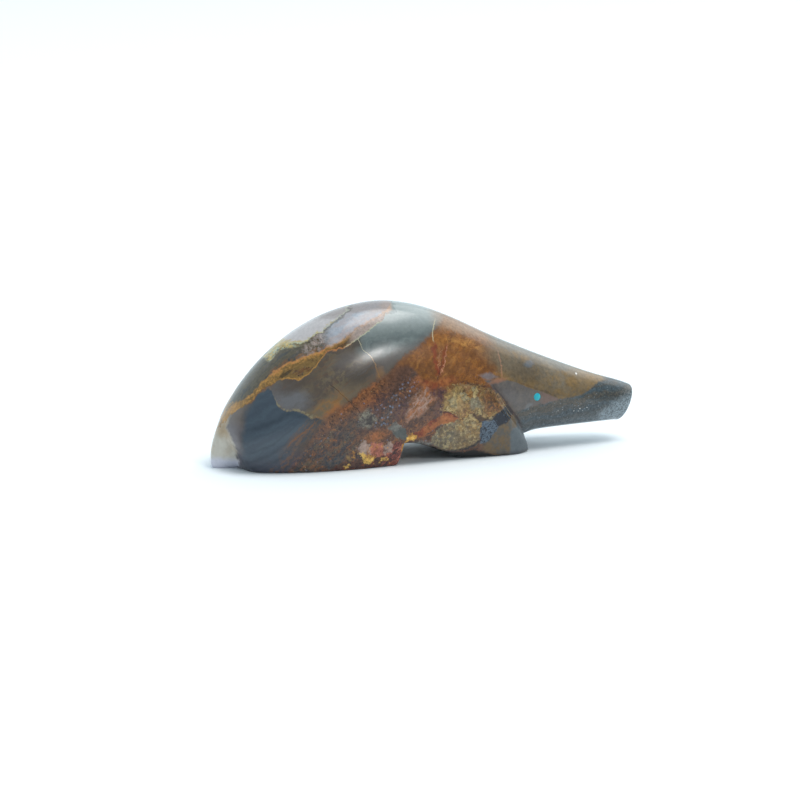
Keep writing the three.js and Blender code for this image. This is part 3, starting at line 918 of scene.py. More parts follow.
def paintRustFragments(p):
    # red, pink and plum pieces, blue specks, and grey-green stones in the rust
    red = p.either(p.patch((43.4, 15.6), (3.4, 0.8), 12, 0.6, 1.6),
                   p.patch((40.6, 15.4), (1.2, 1), 0, 0.6, 1.4))
    p.paint(red, p.stained("brickRed", "ember", 0.1), 0.75)
    pink = p.shard([(40.1, 15.2), (42.3, 13), (40, 10.6), (36.2, 8.8), (35.4, 10.8), (38.2, 13.6)],
                   0.7, 1.2)
    p.paint(pink, p.stained("pinkStone", "rust"), 0.85, grit=0.7)
    p.coat([
        ("pinkAsh", 0.8, p.streaks, 48, 1.5, 4, 0.5, 0.56),
        ("ember", 0.8, p.streaks, 48, 1.8, 4, 0.46, 0.41),
    ], pink)
    plum = p.either(
        p.shard([(40.9, 14), (42.8, 15), (45, 13.8), (43.4, 12.3), (41.7, 13.2)], 0.35, 1.2),
        p.patch((43.4, 10.8), (1.3, 2), -20, 0.5, 1.2), p.patch((34.8, 11.2), (1.4, 2), -30, 0.6, 1.2),
    )
    p.paint(plum, p.mottled("plum", "rustDeep"), 0.85, grit=0.9)
    spots = [(36.2, 15), (34.2, 12.7), (32.1, 11.7), (31.2, 9.8)]
    p.coat([
        ("speckDark", 0.55, p.fade, p.jag, 0.5, 0.42),
        ("speckBlue", 0.95, p.dots, 1.6, 0.42, 0.7),
    ], p.either(*[p.patch(spot, (1.8, 1.3), 35, 0.8, 1.2) for spot in spots]))
    swirl = p.shard([(26.2, 11), (28.4, 11.8), (30, 9.8), (28.4, 8.2), (26.2, 8.6)], 0.5, 1.6)
    p.paint(swirl, p.mottled("swirl", "ash"), 0.75, grit=0.8)
    p.paint(p.patch((28.4, 9.6), (0.7, 0.9), 0, 0.5, 1.2), "speckDark", 0.8)
    p.paint(p.patch((29.6, 6.5), (2.4, 1), 15, 0.6, 1.2), p.mottled("ember", "rust"), 0.8)
    stone = p.shard([
        (34.5, 9.6), (35.4, 8.6), (35.7, 7.2), (36.6, 6.4), (35, 4.6), (33.7, 6), (31.7, 6.8), (32, 7.9),
    ], 0.12, 0.5)
    p.paint(stone, p.stained("greyGreen", "ash"), 0.95, grit=0.3)
    p.paint([stone, p.level([(30, 5.2), (34, 7.2), (38, 8.4)], 0.3, -0.4)], "greyGreenDark", 0.85)
    p.paint(p.vein([(33.7, 6.2), (34.4, 5.4), (35.1, 4.4)], 0.15), "swirl", 0.6)


def paintRedFoot(p):
    # the wine-red corner in front of the haunch, with cream, blush and yellow flecks
    foot = p.either(
        p.shard([(24.6, 4.8), (26, 5.6), (35, 5), (35.6, 0), (20, -0.2), (23.8, 1.2)], 0.2, 1),
        p.patch((22.6, 0.5), (3, 0.8), 8, 0.4, 1),
    )
    p.paint(foot, p.mottled("wineDark", "rustDark", 0.09), 0.95, grit=0.8)
    right = p.both(foot, p.inX(30.5, 32.5))
    p.paint(right, p.mottled("wineRed", "wineDark"), 0.9)
    p.paint([right, p.streaks(35, 1.6, 4, 0.5, 0.56)], "blush", 0.8)
    p.paint([foot, p.streaks(8, 1.6, 5, 0.53, 0.57), p.inZ(2, 0.8)], "brickRed", 0.7)
    p.coat([(tone, strength, p.shard, corners, 0.2, 1.4) for tone, strength, corners in (
        ("creamPink", 0.95, [(26.1, 4.5), (27.1, 5.6), (28.6, 5.2), (28.8, 2.8), (26.9, 2.7)]),
        ("blush", 0.85, [(28.5, 5.2), (31.2, 5.1), (31.6, 2.4), (28.9, 2.4)]),
        ("creamPink", 0.8, [(31.2, 4.1), (32.1, 5.1), (33.2, 4.8), (33, 2.9), (31.4, 2.5)]),
        ("yellow", 0.95, [(26.5, 3.2), (29.2, 2.5), (29.4, 1.7), (28.3, 0.9), (27.5, 1.1)]),
        ("yellow", 0.85, [(30.8, 1.9), (32.6, 1.7), (32.2, 1.2), (30.8, 1.3)]),
        ("yellow", 0.85, [(23.4, 1.1), (24.3, 1.3), (24.3, 0.6), (23.5, 0.6)]),
        ("khakiGold", 0.8, [(23.9, 2.9), (24.5, 2.9), (24.5, 2.2), (24, 2.2)]),
        ("amber", 0.7, [(25, 3.8), (25.5, 3.7), (25.4, 2.7), (25.1, 2.8)]),
    )], grit=0.6)
    p.paint([p.patch((29.6, 3.4), (2.2, 1.8), 0, 0.4, 1), p.streaks(75, 1.6, 3, 0.5, 0.55)],
            p.mottled("amber", "wineRed", 0.1), 0.7)
    p.paint([foot, p.dots(1.5, 0.3, 0.22), p.inX(28.5, 30)], "amber", 0.8)
    p.paint([foot, p.web(0.9, 0.024)], "wineDark", 0.85)
    p.coat([
        ("speckDark", 0.9, p.vein, [(31.4, 0.2), (32.3, 1.1), (33, 2.3), (34, 3.2), (34.8, 3.7)], 0.32, 0.6),
        ("amber", 0.8, p.vein, [(0, 34.9), (2, 35.3), (4, 35.4), (5, 36)], 0.4, 0.8, True),
    ])
    corner = p.shard([(35.9, 5.5), (36.5, 6.3), (38.4, 6), (38, 5.3), (35.6, 4.7)], 0.15, 0.9)
    p.paint(corner, p.mottled("yellow", "amber"), 0.95, grit=0.7)
    p.paint([corner, p.web(1.6, 0.02)], "brickRed", 0.7)
    dusky = p.shard([(19, 1.6), (21.8, 2.9), (24, 3.6), (22.8, 1.9), (20.4, 0.6)], 0.3, 0.8)
    p.paint(dusky, p.mottled("ash", "slateDark"), 0.8)


haunchTop = [
    (3.4, 10.6), (4.6, 12), (5.8, 13.1), (7, 14.2), (8.5, 15.3), (9.9, 16), (10.3, 15.3), (10.6, 14.1),
    (11, 13.1), (11.9, 12.3), (12.9, 12.1), (14.2, 12.1), (15.5, 11.5), (16.8, 10.9), (18.1, 10.7),
    (19.4, 10.2), (23, 9),
]
haunchLeft = [(0.2, 5.2), (1.2, 4.7), (3.9, 4.2), (6.9, 4.1), (8.9, 4.6), (10.9, 5), (12.6, 5.8), (16, 8)]
haunchRight = [(0.6, 10.5), (2.9, 12.2), (6.4, 14.3), (9.6, 16.4), (12, 18)]
tailLine = [(0, 5), (1.5, 4.6), (3.6, 3.9), (5.1, 3.3), (6.9, 2.7), (8.3, 2.4), (9.9, 2.9), (12, 4)]


def paintHaunch(p):
    # the dark slate of the haunch with its jagged pale upper edge, faint rising arcs, and a paler band by
    # the tail crease that is partly painted light
    right, left = p.aheadOf(haunchRight), p.aheadOf(haunchLeft)
    under = p.below(haunchTop, 0.12, jag=0.9)
    body = p.both(under, p.fade(right, 3.2, 1.4), p.ahead(tailLine))
    p.paint(body, p.mixTones(p.inZ(6, 2), "smokeBrown", "slatePlum"), 0.9, grit=0.1)
    slate = p.both(under, p.fade(left, -0.9, 0.9), p.fade(right, 1.6, -2.2))
    p.paint(slate, p.mixTones(p.fade(p.banding(28, 0.75, 3), 0.36, 0.68), "slate", "slateTeal"), grit=0)
    p.paint([slate, p.inZ(4.2, 1)], "slatePlum", 0.6)
    p.coat([("slateDark", strength, p.stroke, points, width, 0, False, 1.5) for strength, width, points in (
        (0.6, 1, [(5.4, 8.4), (8.3, 9.5), (10.8, 10.5), (12.9, 11.6), (16, 11)]),
        (0.5, 0.7, [(5.1, 1.9), (7.6, 3.1), (10.7, 5), (13.3, 7), (15.4, 8.5)]),
        (0.35, 0.5, [(6, 4.2), (9, 5.6), (12, 7.8), (14.5, 9.8)]),
        (0.4, 0.6, [(5.2, 0.6), (8, 1.6), (11.5, 3.4)]),
    )], slate)
    p.coat([
        ("bark", 0.6, p.streaks, 50, 0.9, 7, 0.5, 0.57),
        ("slateDark", 0.7, p.streaks, 52, 1.2, 8, 0.48, 0.42),
    ], p.both(under, p.fade(right, -3.4, 0.5), p.fade(right, 4, 1.5)))
    p.coat([
        ("rust", 0.8, p.vein, [(12.5, 5.5), (13.8, 7), (15.9, 8.5), (17.5, 9.8)], 0.35, 1.4),
        ("bark", 0.5, p.vein, [(11.6, 0.5), (12.6, 2.4), (13.6, 4.2)], 0.5, 2),
    ])
    p.paint([p.stroke(raised(haunchTop[5:15], 0.3), 0.45, 1.2), p.speckle(1.6, 0.42, 0.55, 4)],
            "fringe", 0.75)
    # partly a paler lilac-grey layer, partly painted light where the rounded edge by the tail crease catches
    # it
    veil = p.both(p.below(raised(haunchTop, 0.6), 0.6), p.fade(left, 0.9, -0.9))
    p.paint(veil, p.mixTones(p.inZ(8, 10.5), "veil", "veilBrown"), grit=0)


def paintTail(p):
    # the pale blade of the tail, lilac at its foot and golden above
    tail = p.both(p.fade(p.aheadOf(tailLine), 0.35, -0.35), p.inZ(12, 8.5))
    p.paint(tail, "tail", grit=0)
    p.paint([tail, p.inZ(5.2, 7.6)], "tailGold", 0.8)
    p.paint([tail, p.inZ(2.8, 1.2)], "tailLilac", 0.9)
    p.paint([tail, p.fade(p.cloud, 0.4, 0.6), p.inZ(2, 3.5)], "tailGold", 0.35)
    p.paint(p.vein([(0, 5), (1.5, 4.7), (3, 4.3)], 0.4, upright=True), "slatePlum", 0.7)


goldTop = [
    (1.5, 9), (3.3, 11.5), (4.2, 12.7), (5.3, 13.6), (6.8, 14.9), (8.3, 16.4), (9.6, 17.8), (10.6, 18.5),
    (12.2, 19.5), (14.1, 20.6), (15.2, 21), (16.5, 21.7), (18, 22.1), (20.1, 22.8), (21.5, 23.6),
    (23, 24.2), (24.6, 25), (26.2, 26), (27.9, 26.8), (30.1, 27.7), (31.7, 28.3), (33.5, 29.1), (35.2, 30),
]
goldLow = [
    (1.5, 8), (3.3, 10.6), (4.5, 11.9), (5.9, 12.9), (7.1, 14), (8.1, 15.2), (9.4, 16.3), (10.8, 17),
    (11.9, 17.9), (13.3, 18.1), (14.6, 17.9), (16, 18.4), (17.1, 18.8), (18, 19.7), (19.5, 21.2),
    (20.6, 22.4), (21.6, 23), (22.8, 23.1), (24.5, 23.4), (26.4, 24.4), (29, 25.7), (30.9, 26.8),
    (32.6, 27.6), (33.9, 29), (35.2, 29.9),
]
crustLine = [
    (9.6, 22.6), (11, 21.2), (11.8, 22), (13.8, 23.5), (15.2, 24), (17.4, 24.4), (18.9, 25.1),
    (19.8, 25.8), (20.6, 26.1), (21.1, 26), (21.4, 26.5), (22.7, 27.3), (24.1, 28.1), (25.5, 28.9),
    (26.3, 29.3), (29, 31),
]


def paintBands(p):
    # the gold band over the back with its two pockets, and the strip above it
    inside = p.both(p.below(goldTop, 0.2), p.above(goldLow, 0.1, jag=0.4))
    strata = p.layers(goldTop, 1.6, 6)
    p.paint(inside, p.mixTones(p.fade(strata, 0.46, 0.54), "goldDark", "goldOlive"), grit=0.5)
    p.coat([
        (p.stained("bark", "stripDark"), 0.75, p.fade, strata, 0.54, 0.48),
        ("pit", 0.8, p.dots, 1.9, 0.36, 0.12),
    ], p.both(inside, p.inX(12.6, 14), p.inX(20.5, 19.5), p.level(goldTop, -0.9, -1.4)))
    p.coat([
        (p.mottled("gold", "goldOlive", 0.1), 0.8, p.level, goldTop, -1, -0.4),
        (p.mottled("gold", "goldOlive", 0.1), 0.9, p.inX, 12.4, 10.6),
        (p.stained("gold", "goldOlive", 0.1), 0.8, p.inX, 6.5, 4),
    ], inside)
    second = p.both(inside, p.inX(21, 22))
    p.paint(second, p.mixTones(p.fade(strata, 0.47, 0.56), "goldDark", "bark"), 0.9)
    p.paint([second, p.level(goldTop, -0.9, -0.2)], "gold", 0.7)
    rising = p.both(inside, p.inX(24.5, 27.5))
    p.paint(rising, p.mottled("cloud", "stripBrown", 0.1), 0.95, grit=0.4)
    p.paint([rising, p.speckle(2.2, 0.58, 0.63)], "speckDark", 0.2)
    p.paint([rising, p.dots(1.5, 0.35, 0.3)], "crustGold", 0.4)
    strip = p.both(p.above(goldTop, 0.2, jag=0.5), p.inX(1, 5))
    p.paint(strip, "stripDark", grit=0.3)
    strata = p.layers(goldTop, 1, 8)
    p.paint([strip, p.fade(strata, 0.52, 0.6)], "slateDark", 0.5)
    p.paint([strip, p.fade(strata, 0.46, 0.38)], "fog", 0.5)
    brown = p.both(strip, p.inX(14.5, 18.5))
    p.paint(brown, p.stained("stripBrown", "stripDark", 0.08), 0.95, grit=0.6)
    p.paint([brown, p.grain(0.54, 0.6), p.inX(22.5, 20.5)], "speckDark", 0.45)
    p.paint([brown, p.grain(0.45, 0.39), p.inX(22.5, 20.5)], "bark", 0.5)
    pale = p.both(strip, p.inX(19.6, 23.2))
    p.paint(pale, p.mixTones(p.fade(strata, 0.42, 0.62), "stripPale", "stripLilac"), 0.95, grit=0.1)
    p.paint([pale, p.stroke(raised(goldTop[14:], 0.9), 0.8, 1.5)], "peach", 0.25)
    p.paint([p.stroke(raised(goldTop[7:15], 0.5), 0.55, 1), p.speckle(1.4, 0.42, 0.54, 4)], "bark", 0.7)
    p.paint(p.stroke(goldTop[7:15], 0.32, 0.4), p.mottled("orange", "gold", 0.1), 0.85, grit=0.4)
    p.paint([p.stroke(goldTop[14:], 0.42, 1), p.speckle(0.9, 0.38, 0.52, 4)], "peach", 0.7)
    p.coat([
        ("peach", 0.85, p.patch, (34.4, 29.8), (1.3, 0.8), 30, 0.5, 0.8),
        ("bark", 0.6, p.stroke, goldLow[3:8], 0.3, 0.8),
        ("gold", 0.9, p.stroke, goldLow[8:16], 0.22, 0.5),
        ("orange", 0.7, p.stroke, goldLow[15:20], 0.2, 0.6),
        ("crust", 0.8, p.stroke, goldLow[18:23], 0.18, 0.6),
    ])
    paintTop(p)


def paintTop(p):
    # the pale top of the back and the crust along its lower edge
    top = p.above(crustLine, 0.1, jag=0.3)
    p.paint(top, "topPale", grit=0.1)
    p.paint([top, p.level([(20, 28.2), (26, 29), (36, 30.2)], -0.7, 0)], "topBrown", 0.8)
    p.paint([p.above(goldTop, 0.2), p.inX(26, 28), p.inZ(28.8, 29.6)], "topBrown", 0.8)
    rind = p.both(p.below(crustLine, 0.12), p.level(raised(crustLine, -0.6), -0.2, 0.1),
                  p.inX(17.6, 14.5), p.fade(p.frayed(p.x, 5), 10.2, 11.4))
    p.paint(rind, p.mottled("crustGreen", "crustGold", 0.08), 0.95, grit=0.8)
    p.paint([rind, p.dots(1.8, 0.42, 0.35)], "pit", 0.75)
    p.coat([
        ("crustGold", 0.85, p.stroke, raised(crustLine[:6], 0.1), 0.3, 0.9),
        ("stripDark", 0.6, p.stroke, raised(crustLine[4:], -0.22), 0.3, 0.4),
        ("crust", 0.95, p.stroke, crustLine[4:11], 0.2, 0.5),
        ("crust", 0.5, p.stroke, crustLine[10:], 0.16, 0.6, False, 1),
    ])
    p.paint([p.stroke(crustLine[5:13], 0.4, 1.6), p.speckle(1.8, 0.5, 0.56)], "crustGold", 0.6)


def paintBreccia(p):
    # broken cream, khaki and gold fragments between belly and shoulder, with seams and veins
    zone = p.shard([
        (44.6, 14.6), (49.2, 15), (53, 14), (56, 12.2), (57.6, 9.6), (55.3, 8), (53.2, 6), (51, 4),
        (43, 8), (43.6, 11),
    ], 0.3, 1.4)
    bend = p.noise(p.true, 0.6, detail=4, roughness=0.6, colour=True)
    bent = p.vector("ADD", p.true, p.centred(bend, 2.4))
    tint = p.add("SeparateColor", {"Color": p.cells(bent, 0.75)["Color"]}).outputs
    p.paint(zone, p.stained("breccia", "khakiGold"), grit=0.9)
    p.coat([
        ("brecciaPale", 0.75, p.math, "GREATER_THAN", tint["Red"], 0.68),
        ("brecciaGrey", 0.7, p.math, "GREATER_THAN", tint["Green"], 0.74),
        ("rust", 0.75, p.math, "GREATER_THAN", tint["Blue"], 0.74),
    ], zone)
    p.paint([zone, p.inX(50.5, 54), p.inZ(8, 10)], p.mottled("rust", "cocoa"), 0.85)
    p.coat([
        ("khakiGold", 0.7, p.grain, 0.54, 0.6),
        ("seam", 0.5, p.grain, 0.56, 0.62),
        ("brecciaPale", 0.4, p.grain, 0.43, 0.37),
    ], zone)
    edges = p.cells(bent, 0.75, "DISTANCE_TO_EDGE")["Distance"]
    p.paint([zone, p.fade(edges, 0.14, 0), p.fade(p.jag, 0.44, 0.54)], "seam", 0.75)
    p.paint([zone, p.web(0.7, 0.016, 5)], "vein", 0.75)
    grey = p.shard([(49, 11.9), (51, 12.5), (52, 10.4), (49.6, 9.9)], 0.25, 0.9)
    p.paint(grey, p.mottled("brecciaGrey", "khakiGreen"), 0.8)
    p.coat([
        ("brecciaPale", 0.4, p.patch, (46.6, 11.6), (1.4, 2), 20, 0.5, 1.3),
        (p.mottled("rust", "cocoa"), 0.7, p.patch, (53.6, 11.2), (2.4, 1.4), -30, 0.5, 1.3),
        ("seam", 0.75, p.vein, [(48.5, 15.4), (51, 14.6), (53, 14.2)], 0.4, 1.4),
    ])
    paintBoulder(p)


def paintBoulder(p):
    # the rounded khaki fragment under the breccia and the brick-red wedge over it
    boulder = p.shard([
        (41.2, 5), (42.2, 6.3), (43.3, 7.2), (46.6, 8.3), (50.4, 7), (51.8, 5), (51, 2.9), (47, 1.9),
        (43.2, 2.4), (41.2, 4),
    ], 0.15, 0.8)
    p.paint(boulder, p.stained("khaki", "khakiGreen", 0.04), grit=0.9)
    p.coat([
        (p.stained("khakiGold", "khaki"), 0.85, p.inX, 45, 47.5),
        ("brecciaPale", 0.6, p.speckle, 1.5, 0.52, 0.58, 5),
        ("footGrey", 0.7, p.grain, 0.56, 0.62),
        ("seam", 0.45, p.web, 0.8, 0.02),
    ], boulder)
    wedge = p.either(
        p.shard([(36.8, 6.5), (38.4, 7.2), (42, 9), (43.9, 10.2), (44.4, 8.2), (42.8, 7.4), (41.3, 5.4),
                 (38.9, 5.3)], 0.12, 0.6),
        p.shard([(42.4, 8.6), (43.9, 10.2), (45.2, 9.8), (47, 8.5), (46, 8), (43.4, 7.8)], 0.12, 0.7),
    )
    p.paint(wedge, p.stained("brickRed", "ember", 0.08), 0.97, grit=0.7)
    p.paint([wedge, p.grain(0.56, 0.62)], "brickDark", 0.8)
    p.coat([
        ("wineDark", 0.85, p.vein, [(43.4, 10), (44.6, 9.9), (46, 9), (47, 8.5)], 0.28, 0.6),
        ("ember", 0.7, p.vein, [(38.6, 5.6), (41, 5.9), (42.7, 7.5), (45, 8.1)], 0.2, 0.8),
        ("cocoa", 0.9, p.shard, [(49.9, 9.4), (53.6, 7.6), (51.6, 7.3), (50.1, 8.4)], 0.12, 0.5),
    ])


bellyLine = [
    (34, 4.4), (37.5, 4.5), (40.5, 3.7), (44, 2.3), (47, 1.6), (50, 1.7), (52.5, 1.2), (55, 0.4), (58, -0.5),
]


def paintFeet(p):
    # the blue granular seam, brown front foot, grey toe, and painted shade: the near-black belly above the
    # ground and a darker lower edge of the foot
    # painted shade: near-black under the belly on the near side
    p.paint([p.near, p.below(bellyLine, 0.35, jag=0.8), p.inX(36, 37.5)], "bellyShade", grit=0)
    p.paint(p.stroke([(36.5, 4.2), (39, 4.3), (41.5, 3.6)], 0.9, 1), p.mottled("bellyGrey", "ash"), 0.7)
    foot = p.both(p.inX(51.5, 53), p.level([(50, 5), (54, 6.4), (62, 8)], 0.4, -0.4),
                  p.above(bellyLine, 0.35))
    p.paint(foot, p.stained("foot", "footGrey"), grit=0.2)
    p.paint([foot, p.inX(57.6, 58.4)], "toe", grit=0.15)
    # painted shade: darker along the foot's lower edge next to the ground
    p.paint([foot, p.inZ(1.2, 0.3)], "speckDark", 0.4)
    p.paint(p.shard([(58.2, 7.5), (59.8, 8), (59.8, 6), (58.2, 5.4)], 0.4, 0.8), "foot", 0.8)
    dark = p.shard([(53.4, 7.6), (56, 9.4), (58.5, 10.4), (59.3, 8.6), (57.6, 7), (55.1, 6)], 0.25, 0.7)
    p.paint(dark, "blueBlack", grit=0.3)
    p.paint([dark, p.dots(1.9, 0.36, 0.4)], "blueGrey", 0.5)
    blue = p.shard([(51.7, 7.4), (54.4, 7.7), (55.4, 6.1), (53.2, 3.2), (51.4, 3), (51.6, 5.3)], 0.15, 0.5)
    p.paint(blue, "blueGrey", grit=0.4)
    p.paint([blue, p.speckle(3.2, 0.5, 0.55, 2)], "blueBlack", 0.9)
    p.paint(p.vein([(45, 2), (48.5, 2.2), (51.4, 3.6), (52, 5)], 0.45, 1), "blueBlack", 0.85)


snoutLine = [
    (55, 7), (58, 8), (61.9, 9), (65, 9.3), (67.3, 9.7), (68.8, 9.9), (71.4, 10.1), (74.1, 10.3),
    (76.6, 11.4), (78.8, 12.2), (80.5, 12.6), (83, 13.2), (89, 14),
]
wedgeTop = [
    (50, 16), (54, 15.3), (57.7, 14.9), (60.6, 13.8), (63.3, 12.6), (65.9, 11.6), (68.9, 10.3),
    (70.3, 9.6), (75, 8),
]
headLeft = [(0, 62.5), (5.3, 61.4), (7.5, 60.1), (9.8, 58.2), (12, 56.4), (14, 54.6), (16, 52.5), (24, 50)]
cheekGroove = [(54.5, 14), (56.2, 12), (57.8, 9.8), (59.7, 7.5), (61, 5.3)]


def paintHead(p):
    # olive to golden-brown above with a painted rim sheen on the top edge, a taupe wedge with the eye,
    # granular slate on the snout with a painted reflection at its end, and painted shade along the cheek
    # groove
    upper = p.both(p.inX(53.5, 58), p.ahead(headLeft, 0.35), p.level(snoutLine, -0.4, 0.4))
    p.paint(upper, p.stained("headOlive", "headGold", 0.1), grit=0.35)
    p.paint(p.patch((61.2, 16.2), (4.2, 1.9), -22, 0.7, 0.6), "headDark", 0.8)
    # partly grey stone, partly painted rim sheen: a paler grey along the head's top edge
    p.paint([upper, p.level([(54, 21.6), (62, 17.9), (70, 14.6), (84, 11)], 0.5, 2.1)], "headRimSheen", 0.5)
    p.paint([upper, p.inX(64, 70), p.fade(p.cloud, 0.4, 0.6)], "headGrey", 0.5)
    p.paint([upper, p.level(raised(snoutLine, 1.2), 1.4, -0.8), p.inX(66, 70)],
            p.mottled("headGold", "headOlive", 0.12), 0.9)
    p.paint([upper, p.inX(72, 76), p.inZ(11, 13)], "khakiGold", 0.5)
    p.coat([
        ("headOlive", 0.7, p.patch, (56.5, 19), (4, 1.6), -30, 0.8, 0.8),
        ("blushVein", 0.4, p.vein, [(15.6, 56.4), (17.5, 56.8), (20.4, 56.6)], 0.22, 0.8, True),
    ])
    wedgeLeft = [(0, 62), (7.5, 59.9), (10.4, 57.6), (13.1, 55), (15.2, 53)]
    wedge = p.both(p.below(wedgeTop, 0.1), p.above(snoutLine, 0.25), p.ahead(wedgeLeft))
    p.paint(wedge, p.stained("taupe", "fog", 0.12), grit=0.15)
    p.paint([wedge, p.inX(64.5, 66)], "taupeRose", 0.75)
    p.paint([p.stroke(raised(wedgeTop[2:7], 0.35), 0.4), p.inX(58, 61)], "cocoa", 0.35)
    slateLeft = [(0, 63.2), (4.6, 61.2), (7, 59.6), (9, 58.8)]
    slate = p.both(p.below(snoutLine), p.ahead(slateLeft, 0.4))
    p.paint(slate, p.mixTones(p.fade(p.banding(6, 0.6, 2), 0.4, 0.6), "snout", "footGrey"), grit=0.5)
    # painted reflection: a paler lower end of the snout
    p.paint(p.shard([(78.4, 6.4), (81.6, 8.4), (88, 9.6), (88, 4), (79, 4)], 0.9, 0.8), "snoutLight", 0.9)
    # painted reflection: a paler tone on the snout's end
    p.paint([slate, p.inX(82, 85.5), p.inZ(11, 8.5)], "snoutEndSheen", 0.65)
    p.coat([
        # painted reflection: lighter along the snout's lower edge
        ("snoutLight", 0.35, p.level, [(60, 4.6), (80, 6.4), (88, 7)], 0.6, -0.8),
        ("snoutDark", 0.55, p.speckle, 3.2, 0.5, 0.57, 2),
        ("snoutLight", 0.5, p.dots, 2.2, 0.34, 0.3),
    ], slate)
    p.paint([slate, p.inX(76.5, 79), p.inZ(8.6, 9.6), p.speckle(3.6, 0.46, 0.52, 2)], "snoutDark", 0.6)
    p.coat([
        ("blueGrey", 0.55, p.patch, (63.3, 17.3), (1.2, 0.6), 0, 0.4, 0.7),
        ("shoulderDark", 0.6, p.patch, (54.6, 17.5), (1.2, 0.7), 0, 0.6, 1.2),
        ("veil", 0.8, p.patch, (53.6, 16.1), (1.8, 0.7), -10, 0.4, 0.8, 0.4),
        ("pinkStone", 0.7, p.patch, (55.4, 15), (2.2, 0.45), 8, 0.6, 0.9, 0.4),
        ("snoutLight", 0.25, p.patch, (62.4, 9.4), (0.9, 0.4), 25, 0.5, 0.8),
        # painted shade: a dark line and a wide soft dark band along the cheek groove
        ("blueBlack", 0.8, p.stroke, cheekGroove, 0.5),
        ("cocoa", 0.45, p.vein, cheekGroove, 1.8),
    ])


def paintLines(p):
    # cracks, veinlets and scratches, real specks on the snout painted as bright glints, and one near-white
    # speck on the near side of the head
    crack = [(21, 16.9), (22.8, 15.3), (23.9, 14), (25, 13), (26, 11.9), (27, 10.5)]
    veinlet = [(17.4, 31), (18.6, 30.5), (20.3, 30), (21.8, 29.2), (23.1, 28), (24.9, 27.5)]
    p.coat([
        ("crack", 0.85, p.vein, crack, 0.2),
        ("ochre", 0.45, p.vein, [(22.3, 15.9), (23.4, 14.7), (24.4, 13.6)], 0.5, 1),
        ("paleLine", 0.75, p.vein, veinlet[2:], 0.13, 0, True),
        ("ochre", 0.8, p.vein, veinlet[:4], 0.16, 0.5, True),
        ("paleLine", 0.9, p.vein, [(23.4, 42.7), (24.4, 42.8), (25.4, 43), (27, 44)], 0.2, 0, True),
    ])
    p.coat([(tone, strength, p.vein, points, width, 2.4, True) for tone, strength, width, points in (
        ("brickRed", 0.9, 0.9, [(17, 43.2), (18.2, 43), (19.7, 42.6), (21.6, 42.6), (23.2, 42.7)]),
        ("brickRed", 0.7, 0.7, [(17.5, 43), (19.1, 44), (20.5, 44.4), (22.3, 45.3)]),
        ("blushVein", 0.9, 0.2, [(17.2, 43.4), (19, 44.3), (20.5, 44.8), (22.3, 45.6)]),
        ("blushVein", 0.6, 0.14, [(18.4, 43.2), (20, 43.3), (21.8, 44.2)]),
        ("speckDark", 0.6, 0.2, [(16, 42.6), (18, 43.4), (20, 43.9)]),
    )])
    for shift, strength in ((0.4, 0.55), (0.9, 0.4), (1.5, 0.25)):
        scratch = [(x - shift, z - shift * 0.6) for x, z in cheekGroove[1:4]]
        p.paint(p.vein(scratch, 0.1), "brecciaPale", strength)
    # painted glints: real specks on the snout laid on as near-white dots
    p.paint([p.patch((73.4, 7.6), (4, 0.5), 2, 0.6, 1), p.dots(2, 0.3, 0.5)], "sparkle", 0.95)
    p.paint([p.fade(p.y, 0.3, -0.3), p.patch((73.9, 14.3), (0.27, 0.17), 0, 0.3, 0.2)], "sparkle")


stoneZones = {
    "ground": paintGround, "upper_flank": paintUpperFlank, "rust": paintRust, "red_foot": paintRedFoot,
    "haunch": paintHaunch, "tail": paintTail, "bands": paintBands, "breccia": paintBreccia,
    "feet": paintFeet, "head": paintHead, "lines": paintLines,
}


def makeZone(name, paintZone, look):
    # one zone as a group, from the colour and grit so far to those after it
    bench, given, made = makeGroup("stone_" + name, {
        "Colour": "Color", "Grit": "Float", "Place": "Vector", "Bent Place": "Vector", "Near": "Float",
        "Jag": "Float", "Mottle": "Float", "Stain": "Float", "Cloud": "Float",
    }, {"Colour": "Color", "Grit": "Float"})
    painter = StonePainter(bench.tree, given, look)
    paintZone(painter)
    bench.put(made["Colour"], painter.colour)
    bench.put(made["Grit"], painter.grit)
    return bench.tree


def makeStone(pieces, look):
    # the zones one after another; the grittier a zone, the stronger its grain
    bench = startMaterial("banded_stone", pieces)
    sofar = stonePlace(bench, look)
    sofar.update({"Colour": (0, 0, 0, 1), "Grit": 0})
    for name, paintZone in stoneZones.items():
        done = useGroup(bench, makeZone(name, paintZone, look), sofar)
        sofar.update({"Colour": done["Colour"], "Grit": done["Grit"]})
    contrast = bench.math("MULTIPLY_ADD", sofar["Grit"], look["grainGritty"], look["grainSmooth"])
    finishPolished(bench, sofar["Place"], sofar["Colour"], contrast, look)


makeStone([carving], stoneLook)
print("stage 6: the banded stone is painted")


turquoiseLook = {
    "blue": (8, 161, 184), "green": (28, 168, 172), "matrix": (50, 76, 72),
    "cloudiness": (1.6, 3), "greenFrom": (0.4, 0.65),  # noise scale and detail; where green comes in
    "seamNoise": (3, 4), "seamFrom": (0.66, 0.72), "seamStrength": 0.5,
    "grainScale": 5, "grainContrast": 0.35, "cloudScale": 2, "hairlineScale": 8,
    "roughness": 0.35, "polish": 0.15, "refraction": 1.5,
}


